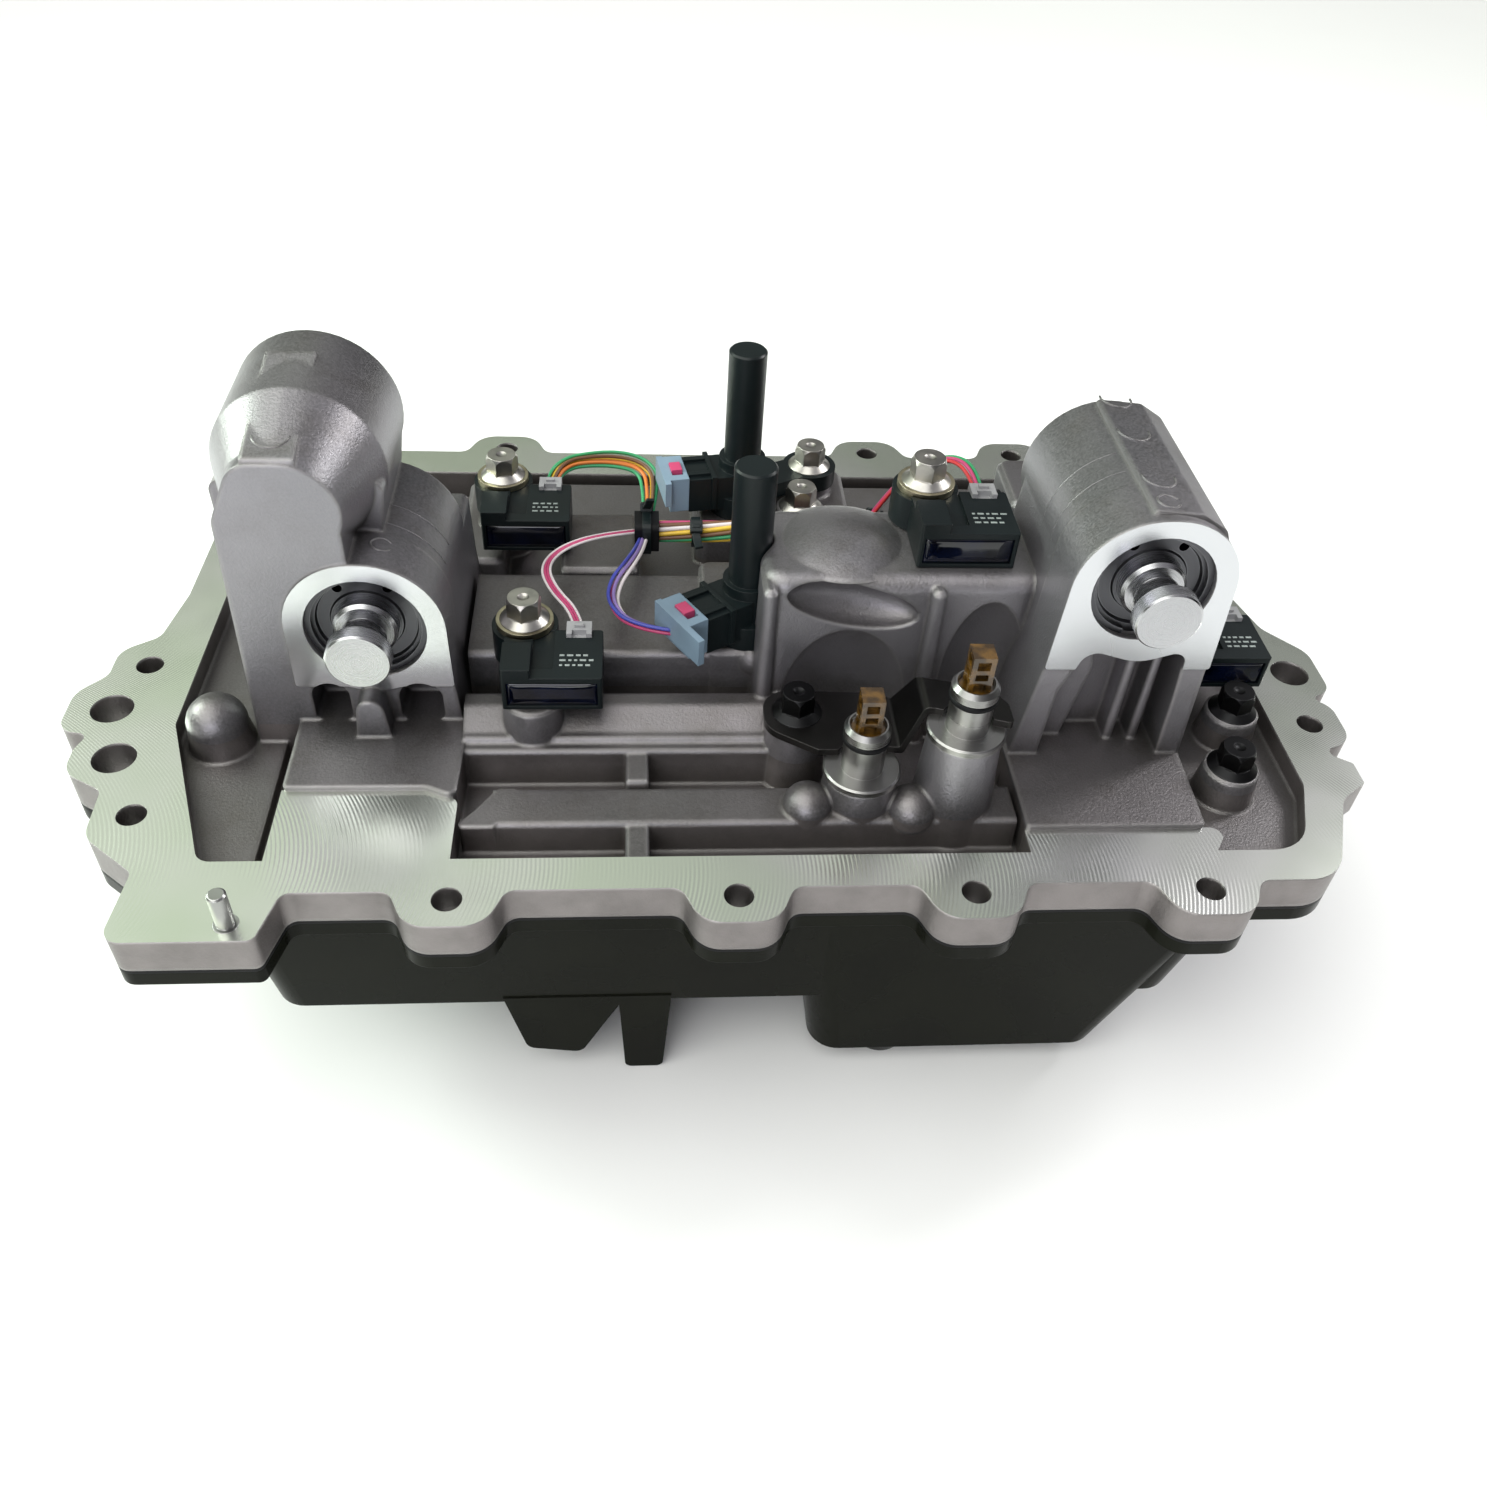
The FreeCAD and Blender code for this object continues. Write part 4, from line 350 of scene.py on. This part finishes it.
FINISHES = {
    CAST: ["valve_housing"], CAST_INSIDE: ["valve_block"],
    NOZZLE[0]: ["nozzle_1"], NOZZLE[1]: ["nozzle_2"],
    STEEL: ["dowel_pin", "separator_plate", *four("solenoid_valve")],
    PLATE: ["retaining_plate"], ZINC: ["sensor_bolts", "speed_sensor_bolts", "clamp_bolt"],
    YELLOW: ["sensor_washers"], BLACK_STEEL: ["plate_bolt", "pad_bolts", "cover_screws"],
    BLACK: [*four("position_sensor"), "speed_sensor_front", "speed_sensor_rear", "main_connector"],
    COVER: ["oil_cover"], GREY: four("sensor_plug"),
    BLUE_GREY: ["speed_plug_front", "speed_plug_rear"], PINK: ["plug_latch_front", "plug_latch_rear"],
    RUBBER: ["cover_gasket", "nozzle_seals", "harness_wraps", "harness_grommet", "piston_seal_left",
             "piston_seal_right", "piston_seal_rear"],
    BOARD: ["control_board"], AMBER: ["nozzle_filter_1", "nozzle_filter_2"]}
for side in BORES:
    FINISHES[PISTON[side]] = ["shift_piston_" + side]
    FINISHES[GUIDE[side]] = ["guide_disc_" + side, "snap_ring_" + side]
for material, names in FINISHES.items():
    for name in names:
        mesh = nodes[name].data
        mesh.materials.clear()
        mesh.materials.append(material)


# Lines, swept bodies and cords

def piece(name, mesh, body, materials):
    """A new object that moves with a body of the frame."""
    obj = bpy.data.objects.new(name, mesh)
    bpy.context.scene.collection.objects.link(obj)
    for material in materials:
        mesh.materials.append(material)
    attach(obj, body)
    return obj


def centreline(points, steps=14):
    """Points along the NURBS spline that has the route's points as its control points."""
    data = bpy.data.curves.new("route", "CURVE")
    data.dimensions = "3D"
    data.resolution_u = steps
    spline = data.splines.new("NURBS")
    spline.points.add(len(points) - 1)
    for point, place in zip(spline.points, points):
        point.co = (*place, 1.0)
    spline.order_u = 3
    spline.use_endpoint_u = True
    obj = bpy.data.objects.new("route", data)
    mesh = bpy.data.meshes.new_from_object(obj)
    line = [v.co.copy() for v in mesh.vertices]
    bpy.data.objects.remove(obj)
    bpy.data.curves.remove(data)
    bpy.data.meshes.remove(mesh)
    return line


def frames(line):
    """Side and up directions carried along a line without twist."""
    result = []
    tangent = (line[1] - line[0]).normalized()
    side = tangent.cross(Vector((0, 0, 1)))
    if side.length < 0.1:
        side = tangent.cross(Vector((1, 0, 0)))
    side.normalize()
    for i in range(len(line)):
        ahead_point = line[min(i + 1, len(line) - 1)]
        back_point = line[max(i - 1, 0)]
        tangent = (ahead_point - back_point).normalized()
        side = (side - tangent * side.dot(tangent)).normalized()
        result.append((side.copy(), side.cross(tangent).normalized()))
    return result


def sweep(bm, line, section, material, smooth=True):
    """Closed body of one section, a list of (side, up) offsets, along a line."""
    rings = []
    for centre, (side, lift) in zip(line, frames(line)):
        rings.append([bm.verts.new(centre + side * a + lift * b) for a, b in section])
    count = len(section)
    for a, b in zip(rings, rings[1:]):
        for k in range(count):
            face = bm.faces.new((a[k], a[(k + 1) % count], b[(k + 1) % count], b[k]))
            face.material_index = material
            face.smooth = smooth
    for ring in (list(reversed(rings[0])), rings[-1]):
        bm.faces.new(ring).material_index = material


def circle(radius, sides=8):
    return [(radius * math.cos(2 * math.pi * k / sides), radius * math.sin(2 * math.pi * k / sides))
            for k in range(sides)]


def finish(bm, name, body, materials):
    """Turn the collected faces into a piece."""
    mesh = bpy.data.meshes.new(name)
    bmesh.ops.recalc_face_normals(bm, faces=bm.faces)
    bm.to_mesh(mesh)
    bm.free()
    return piece(name, mesh, body, materials)


def strands(name, node, points, layout, twist=0.0, spread=0.0):
    """A lead of several wires; layout gives each wire's (side, up, radius, colour) in metres.

    The wires turn round the route by twist radians and open out to 1 + spread times their
    distance sideways in its middle, each with a small wave of its own.
    """
    line = centreline(points)
    turns = frames(line)
    colours = sorted({wire[3] for wire in layout})
    bm = bmesh.new()
    for side_off, up_off, radius, colour in layout:
        own = []
        wander = random.uniform(0, 6.28)
        for i, (centre, (side, lift)) in enumerate(zip(line, turns)):
            t = i / (len(line) - 1)
            swell = spread * math.sin(math.pi * t)
            a = twist * t
            u = (side_off * math.cos(a) - up_off * math.sin(a)) * (1 + swell)
            v = side_off * math.sin(a) + up_off * math.cos(a)
            v += WIRE_WAVE * swell * math.sin(wander + 5 * t)
            own.append(centre + side * u + lift * v)
        sweep(bm, own, circle(radius), colours.index(colour))
    obj = finish(bm, name, "body", [WIRES[c] for c in colours])
    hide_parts(node)


def ribbed_conduit(name, node, points, radius, pitch):
    """Corrugated tube along a route."""
    line = centreline(points, 90)
    bm = bmesh.new()
    rings = []
    run = 0.0
    sides = 20
    for i, (centre, (side, lift)) in enumerate(zip(line, frames(line))):
        run += (line[i] - line[i - 1]).length if i else 0.0
        wave = 0.5 + 0.5 * math.cos(2 * math.pi * run / pitch)
        r = radius * (CONDUIT_VALLEY + (1 - CONDUIT_VALLEY) * min(1.0, wave * 1.6))
        rings.append([bm.verts.new(centre + side * (r * a) + lift * (r * b)) for a, b in circle(1.0, sides)])
    for a, b in zip(rings, rings[1:]):
        for k in range(sides):
            face = bm.faces.new((a[k], a[(k + 1) % sides], b[(k + 1) % sides], b[k]))
            face.smooth = True
    bm.faces.new(rings[0])
    bm.faces.new(rings[-1])
    obj = finish(bm, name, "body", [RUBBER])
    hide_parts(node)


# Harness, with the routes of the solids, apart from the flatter one of LEAD_1

WIRE_WAVE = 0.0004
CONDUIT_VALLEY = 0.84
CONDUIT_RADIUS, CONDUIT_PITCH = 0.0036, 0.0019
TRUNK_WIRE = 0.00064
INNER_REACH, OUTER_REACH = 0.00128, 0.0025
RIBBON_WIRE = 0.00036
LOOSE_WIRE = 0.0005
LOOSE_PITCH = 0.0009

TRUNK = [(-0.01225, 0.0275, 0.0145), (0.00225, 0.0261, 0.0154), (0.01825, 0.0255, 0.0164),
         (0.03365, 0.0261, 0.016), (0.04825, 0.0287, 0.0147)]
CONDUIT = [(0.05325, 0.0287, 0.0147), (0.06775, 0.0327, 0.0174), (0.08325, 0.0345, 0.016),
           (0.09725, 0.0345, 0.016)]
LEAD_1 = [(-0.04245, 0.0427, 0.0182), (-0.0422, 0.0532, 0.0204), (-0.0255, 0.0562, 0.0208),
          (-0.0143, 0.0545, 0.019), (-0.0136, 0.0425, 0.0172), (-0.01475, 0.0311, 0.0145)]
LEAD_2 = [(-0.03215, -0.0251, 0.0182), (-0.03315, -0.0181, 0.0198), (-0.03975, -0.0085, 0.0204),
          (-0.04275, 0.0025, 0.0198), (-0.03825, 0.0125, 0.019), (-0.02795, 0.0209, 0.0176),
          (-0.01725, 0.0265, 0.0151)]
LEAD_3 = [(0.06985, -0.0068, 0.0487), (0.06985, 0.0012, 0.0506), (0.06725, 0.011, 0.05),
          (0.06225, 0.0195, 0.0436), (0.05525, 0.0267, 0.0318), (0.04935, 0.0287, 0.0183)]
FRONT_LEAD = [(-0.01575, 0.0239, 0.0145), (-0.01665, 0.0144, 0.0178), (-0.01935, 0.0041, 0.0202),
              (-0.02335, -0.0055, 0.021), (-0.02425, -0.0155, 0.021), (-0.01875, -0.0247, 0.021),
              (-0.00855, -0.02687, 0.021)]


def round_bundle(*layers):
    """One wire in the middle and layers of (reach, colours) round it."""
    layout = [(0.0, 0.0, TRUNK_WIRE, "brown")]
    for reach, colours in layers:
        for k, colour in enumerate(colours):
            angle = 2 * math.pi * k / len(colours) + 0.2
            layout.append((reach * math.cos(angle), reach * math.sin(angle), TRUNK_WIRE, colour))
    return layout


def ribbon(*colours):
    """Thin wires side by side."""
    middle = (len(colours) - 1) / 2
    return [((i - middle) * 2 * RIBBON_WIRE * 0.98, 0.0, RIBBON_WIRE, c) for i, c in enumerate(colours)]


def loose_wires(*wires, pitch=(LOOSE_PITCH, LOOSE_PITCH), radius=LOOSE_WIRE):
    """Wires at (side, up, colour), in steps of the pitch."""
    return [(x * pitch[0], y * pitch[1], radius, c) for x, y, c in wires]


strands("trunk_wires", "harness_trunk", TRUNK, round_bundle(
    (INNER_REACH, ("brown", "yellow", "pink", "brown", "orange", "white")),
    (OUTER_REACH, ("yellow", "white", "brown", "pink", "yellow", "brown",
                   "orange", "pink", "white", "yellow", "green", "brown"))), twist=2.5)
strands("lead_1_wires", "sensor_lead_1", LEAD_1, loose_wires(
    (-1.0, -0.5, "yellow"), (0.0, -0.5, "orange"), (1.0, -0.5, "green"), (-1.0, 0.6, "green"),
    (0.0, 0.6, "yellow"), (1.0, 0.6, "orange"), (0.5, 1.5, "brown"),
    pitch=(0.00105, LOOSE_PITCH), radius=0.00052), twist=0.9, spread=1.7)
strands("lead_2_wires", "sensor_lead_2", LEAD_2, ribbon("white", "pink", "pink", "white"))
strands("lead_3_wires", "sensor_lead_3", LEAD_3, loose_wires(
    (-1.0, 0.0, "red"), (0.0, 0.3, "pink"), (1.0, 0.0, "green"), (-0.5, -0.8, "white"),
    (0.5, -0.8, "black")), twist=0.8, spread=0.5)
strands("front_lead_wires", "speed_lead_front", FRONT_LEAD, loose_wires(
    (-1.0, 0.0, "white"), (0.0, 0.2, "purple"), (1.0, 0.0, "blue"), (0.0, -0.8, "pink")),
    twist=1.0, spread=0.7)
ribbed_conduit("ribbed_conduit", "harness_conduit", CONDUIT, CONDUIT_RADIUS, CONDUIT_PITCH)


# Small pieces that are not in the solids

def at(x, y, z):
    """A place in the layout of the source, in millimetres, as a place here, in metres."""
    return Vector(((x + 5.25) / 1000, (y - 96.5) / 1000, z / 1000))


def rounded_box(bm, centre, size, matrix=None, bevel=0.0003):
    made = bmesh.ops.create_cube(bm, size=1.0)
    verts = made["verts"]
    bmesh.ops.scale(bm, vec=size, verts=verts)
    edges = list({e for v in verts for e in v.link_edges})
    out = bmesh.ops.bevel(bm, geom=edges, offset=bevel, segments=2, affect="EDGES", profile=0.7)
    verts = list({v for f in out["faces"] for v in f.verts})
    if matrix is not None:
        bmesh.ops.transform(bm, matrix=matrix, verts=verts)
    bmesh.ops.translate(bm, vec=centre, verts=verts)


def cable_tie(name, centre, radius, square, turn, tail):
    """Nylon tie round a bundle that runs along X: band, head with its slot, and cut tail.

    A square tie follows a squarish wrap; turn is the head's angle round the bundle in degrees.
    """
    bm = bmesh.new()
    half, thick, steps = 0.00125, 0.0009, 36
    rings = []
    power = 5.0 if square else 2.0
    for k in range(steps):
        a = 2 * math.pi * k / steps
        r = radius / (abs(math.cos(a)) ** power + abs(math.sin(a)) ** power) ** (1 / power)
        out = Vector((0, math.cos(a), math.sin(a)))
        rings.append([bm.verts.new(centre + out * (r + d) + Vector((h, 0, 0)))
                      for d, h in ((0.0, -half), (thick, -half), (thick, half), (0.0, half))])
    for i in range(steps):
        a, b = rings[i], rings[(i + 1) % steps]
        for k in range(4):
            bm.faces.new((a[k], a[(k + 1) % 4], b[(k + 1) % 4], b[k]))
    angle = math.radians(turn)
    out = Vector((0, math.cos(angle), math.sin(angle)))
    tangent = Vector((0, -math.sin(angle), math.cos(angle)))
    reach = radius * (1.12 if square else 1.0)
    basis = Matrix((Vector((1, 0, 0)), tangent, out)).transposed().to_4x4()
    head = centre + out * (reach + 0.0016)
    rounded_box(bm, head, (0.0036, 0.0034, 0.0026), basis)
    rounded_box(bm, head + out * 0.0012, (0.0022, 0.0009, 0.0005), basis, 0.0001)
    line = []
    for i in range(8):
        t = i / 7
        line.append(head + tangent * (0.0015 + tail * t) + out * (0.35 * tail * t * t)
                    + Vector((0.15 * tail * t * t, 0, 0)))
    wide, flat = 0.0011, 0.0004
    sweep(bm, line, [(-wide, -flat), (wide, -flat), (wide, flat), (-wide, flat)], 0, False)
    finish(bm, name, "body", [BLACK])


cable_tie("tie_join", at(-20, 124, 14.5), 0.0047, True, 60, 0.007)
cable_tie("tie_trunk_left", at(-6.0, 122.7, 15.2), 0.0034, False, 130, 0.005)
cable_tie("tie_trunk_right", at(32.0, 123.0, 15.8), 0.0034, False, 80, 0.006)
cable_tie("tie_end", at(45.5, 125.2, 14.7), 0.0047, True, 130, 0.004)

# Lower left front corners of the position sensors, in the layout's millimetres
SENSORS = ((-66.3, 119.0, 11.0), (-56.0, 51.2, 11.0), (46.0, 69.5, 41.5), (121.0, 66.5, 5.0))
POTTING_WIDE, POTTING_HIGH = 22.1, 7.1
POTTING_SIDE, POTTING_BASE, POTTING_BACK = 1.25, 1.05, 0.49
POTTING_COLUMNS, POTTING_ROWS = 24, 8
PRINT_START, PRINT_END, PRINT_GAP = 14.0, 21.5, 0.6
PRINT_BACK, PRINT_LINE_STEP, PRINT_TOP = 9.0, 1.9, 9.82
PRINT_WIDTHS = (0.8, 1.2, 1.6)


def add_potting(number, x, y, z):
    """Resin that fills a sensor's front, swollen in the middle and drawn in at its rim."""
    bm = bmesh.new()
    grid = []
    for j in range(POTTING_ROWS + 1):
        row = []
        for i in range(POTTING_COLUMNS + 1):
            a, b = i / POTTING_COLUMNS, j / POTTING_ROWS
            rim = min(1.0, 9 * min(a, 1 - a)) * min(1.0, 4 * min(b, 1 - b))
            swell = 0.12 + 0.32 * rim ** 0.5 + 0.03 * math.sin(9 * a + number) * rim
            row.append(bm.verts.new(at(x + POTTING_SIDE + POTTING_WIDE * a, y + POTTING_BACK - swell,
                                       z + POTTING_BASE + POTTING_HIGH * b)))
        grid.append(row)
    for low, high in zip(grid, grid[1:]):
        for i in range(POTTING_COLUMNS):
            bm.faces.new((low[i], low[i + 1], high[i + 1], high[i])).smooth = True
    rim_points = (grid[0] + [row[-1] for row in grid[1:]] + grid[-1][-2::-1]
                  + [row[0] for row in grid[-2:0:-1]])
    back = [bm.verts.new((v.co.x, at(0, y + POTTING_BACK, 0).y, v.co.z)) for v in rim_points]
    for k in range(len(back)):
        n = (k + 1) % len(back)
        bm.faces.new((rim_points[k], back[k], back[n], rim_points[n]))
    bm.faces.new(back)
    finish(bm, "potting_%d" % number, "body", [POTTING])


def add_print(number, x, y, z):
    """Three lines of short plain dashes on a sensor's top."""
    bm = bmesh.new()
    for line_number in range(3):
        start = PRINT_START
        while start < PRINT_END:
            width = random.choice(PRINT_WIDTHS)
            rounded_box(bm, at(x + start + width / 2, y + PRINT_BACK - PRINT_LINE_STEP * line_number,
                               z + PRINT_TOP), (width / 1000, 0.0007, 0.00008), None, 0.00002)
            start += width + PRINT_GAP
    finish(bm, "print_%d" % number, "body", [MARK])


for number, place in enumerate(SENSORS, 1):
    add_potting(number, *place)
    add_print(number, *place)

# Raised casting marks: a barrel is its axis (x, z) and radius in the layout's millimetres
LEFT_BARREL = (-87.3, 30.5, 18.7)
RIGHT_BARREL = (95.4, 53.6, 18.7)
MARK_HEIGHT, RING_HEIGHT = 0.0003, 0.00013


def ridge(name, points, radius):
    bm = bmesh.new()
    sweep(bm, points, circle(radius, 6), 0)
    finish(bm, name, "body", [CAST])


def on_left_strip(x, y):
    return at(x, y, 76.0 + (y - 58.6) * 0.2006)


def on_right_band(x, y):
    return at(x, y, 73.1 - (x - 91.4) * 0.087)


def on_left_barrel(x, y):
    axis_x, axis_z, radius = LEFT_BARREL
    return at(x, y, axis_z + math.sqrt(radius ** 2 - (x - axis_x) ** 2))


def arc(surface, x, y, radius, start, end):
    """Arc round (x, y), laid on a surface, from start to end in degrees."""
    steps = 22
    line = []
    for i in range(steps + 1):
        a = math.radians(start + (end - start) * i / steps)
        line.append(surface(x + radius * math.cos(a), y + radius * math.sin(a)))
    return line


ridge("mark_strip_front", arc(on_left_strip, -101.8, 66.5, 4.2, 190, 350), 0.00028)
ridge("mark_strip_rear", arc(on_left_strip, -101.8, 81.0, 4.2, 190, 350), 0.00028)
for i, mark_y in enumerate((98.0, 82.0, 61.5)):
    ridge("mark_band_%d" % i, arc(on_right_band, 96.5, mark_y, 4.0, 170, 370), MARK_HEIGHT)
ridge("mark_band_ring", arc(on_right_band, 95.8, 51.5, 2.6, 20, 340), MARK_HEIGHT)
ridge("mark_lower_ring", arc(on_left_barrel, -82.4, 67.0, 2.4, 30, 330), MARK_HEIGHT)
for i, (barrel, ring_y, low, high) in enumerate(((LEFT_BARREL, 76.0, 20, 110), (LEFT_BARREL, 84.0, 20, 110),
                                                 (RIGHT_BARREL, 66.0, 106, 190),
                                                 (RIGHT_BARREL, 74.0, 106, 190))):
    axis_x, axis_z, radius = barrel
    steps = 24
    angles = [math.radians(low + (high - low) * step / steps) for step in range(steps + 1)]
    ridge("cast_ring_%d" % i, [at(axis_x + radius * math.cos(a), ring_y, axis_z + radius * math.sin(a))
                               for a in angles], RING_HEIGHT)


# Light, background and floor

world = bpy.data.worlds.new("world")
bpy.context.scene.world = world
world.use_nodes = True
tree = world.node_tree
tree.nodes.clear()


def colour_ramp(value, stops):
    """Colours along a value, as (position, colour) in rising order."""
    node = tree.nodes.new("ShaderNodeValToRGB")
    elements = node.color_ramp.elements
    for index, (position, color) in enumerate((stops[0], stops[-1])):
        elements[index].position = position
        elements[index].color = (*color, 1)
    for position, color in stops[1:-1]:
        elements.new(position).color = (*color, 1)
    tree.links.new(value, node.inputs["Fac"])
    return node.outputs["Color"]


direction = tree.nodes.new("ShaderNodeTexCoord")
split = tree.nodes.new("ShaderNodeSeparateXYZ")
tree.links.new(direction.outputs["Generated"], split.inputs[0])
by_height = colour_ramp(split.outputs[2], (
    (0.0, (0.05, 0.055, 0.045)), (0.4, (0.12, 0.12, 0.11)), (0.62, (0.78, 0.8, 0.76)),
    (0.84, (0.8, 0.82, 0.8)), (1.0, (0.34, 0.35, 0.37))))

# Left to right, from -1..1 to 0..1
shift = tree.nodes.new("ShaderNodeMath")
shift.operation = "MULTIPLY_ADD"
shift.inputs[1].default_value = 0.5
shift.inputs[2].default_value = 0.5
tree.links.new(split.outputs[0], shift.inputs[0])
by_side = colour_ramp(shift.outputs[0], (
    (0.15, (1.0, 1.12, 0.94)), (0.43, (1.0, 1.05, 0.96)), (0.6, (0.58, 0.56, 0.6)),
    (0.85, (0.44, 0.42, 0.48))))

tint = tree.nodes.new("ShaderNodeMix")
tint.data_type = "RGBA"
tint.blend_type = "MULTIPLY"
tint.inputs[0].default_value = 1.0
tree.links.new(by_height, tint.inputs[6])
tree.links.new(by_side, tint.inputs[7])

# The room lights and is mirrored; the camera itself sees plain white
room = tree.nodes.new("ShaderNodeBackground")
room.inputs["Strength"].default_value = 0.9
tree.links.new(tint.outputs[2], room.inputs["Color"])
white = tree.nodes.new("ShaderNodeBackground")
white.inputs["Color"].default_value = (1, 1, 1, 1)
white.inputs["Strength"].default_value = 1.0
path = tree.nodes.new("ShaderNodeLightPath")
pick = tree.nodes.new("ShaderNodeMixShader")
output = tree.nodes.new("ShaderNodeOutputWorld")
tree.links.new(path.outputs["Is Camera Ray"], pick.inputs["Fac"])
tree.links.new(room.outputs[0], pick.inputs[1])
tree.links.new(white.outputs[0], pick.inputs[2])
tree.links.new(pick.outputs[0], output.inputs["Surface"])


def aim(obj, way):
    """Turn a light so that it shines along a direction."""
    obj.rotation_euler = Vector(way).to_track_quat("-Z", "Y").to_euler()


def area_light(name, place, target, size, power, color=(1, 1, 1)):
    data = bpy.data.lights.new(name, "AREA")
    data.shape = "RECTANGLE"
    data.size, data.size_y = size
    data.energy = power
    data.color = color
    obj = bpy.data.objects.new(name, data)
    bpy.context.scene.collection.objects.link(obj)
    obj.location = place
    aim(obj, Vector(target) - Vector(place))


sun = bpy.data.lights.new("sun", "SUN")
sun.energy = 2.4
sun.angle = math.radians(70)
sun.color = (1.0, 0.99, 0.97)
sun_object = bpy.data.objects.new("sun", sun)
bpy.context.scene.collection.objects.link(sun_object)
aim(sun_object, (0.5, 0.25, -1.0))
area_light("left", (-0.75, 0.2, 0.35), (-0.05, 0, 0.03), (0.35, 0.3), 5.5, (0.88, 1.0, 0.88))
area_light("side", (0.7, 0.25, 0.55), (0.05, 0, 0.02), (0.16, 0.3), 3.2)
area_light("front", (-0.25, -0.85, 0.3), (0, 0, 0), (0.5, 0.3), 2.2, (0.93, 0.92, 1.0))

FLOOR_LEVEL = -0.0792
REACH = 3
floor_mesh = bpy.data.meshes.new("floor")
floor_mesh.from_pydata([(-REACH, -REACH, 0), (REACH, -REACH, 0), (REACH, REACH, 0), (-REACH, REACH, 0)],
                       [], [(0, 1, 2, 3)])
floor = bpy.data.objects.new("floor", floor_mesh)
bpy.context.scene.collection.objects.link(floor)
floor.location = (0, 0, FLOOR_LEVEL)
floor_shader = Shader("floor")
floor_tone = floor_shader.mix(floor_shader.noise(3), (0.83, 0.83, 0.83), (0.87, 0.87, 0.87))
floor_shader.set(color=floor_tone, rough=0.9)
floor_mesh.materials.append(floor_shader.material)
bpy.context.scene.view_settings.view_transform = "Standard"
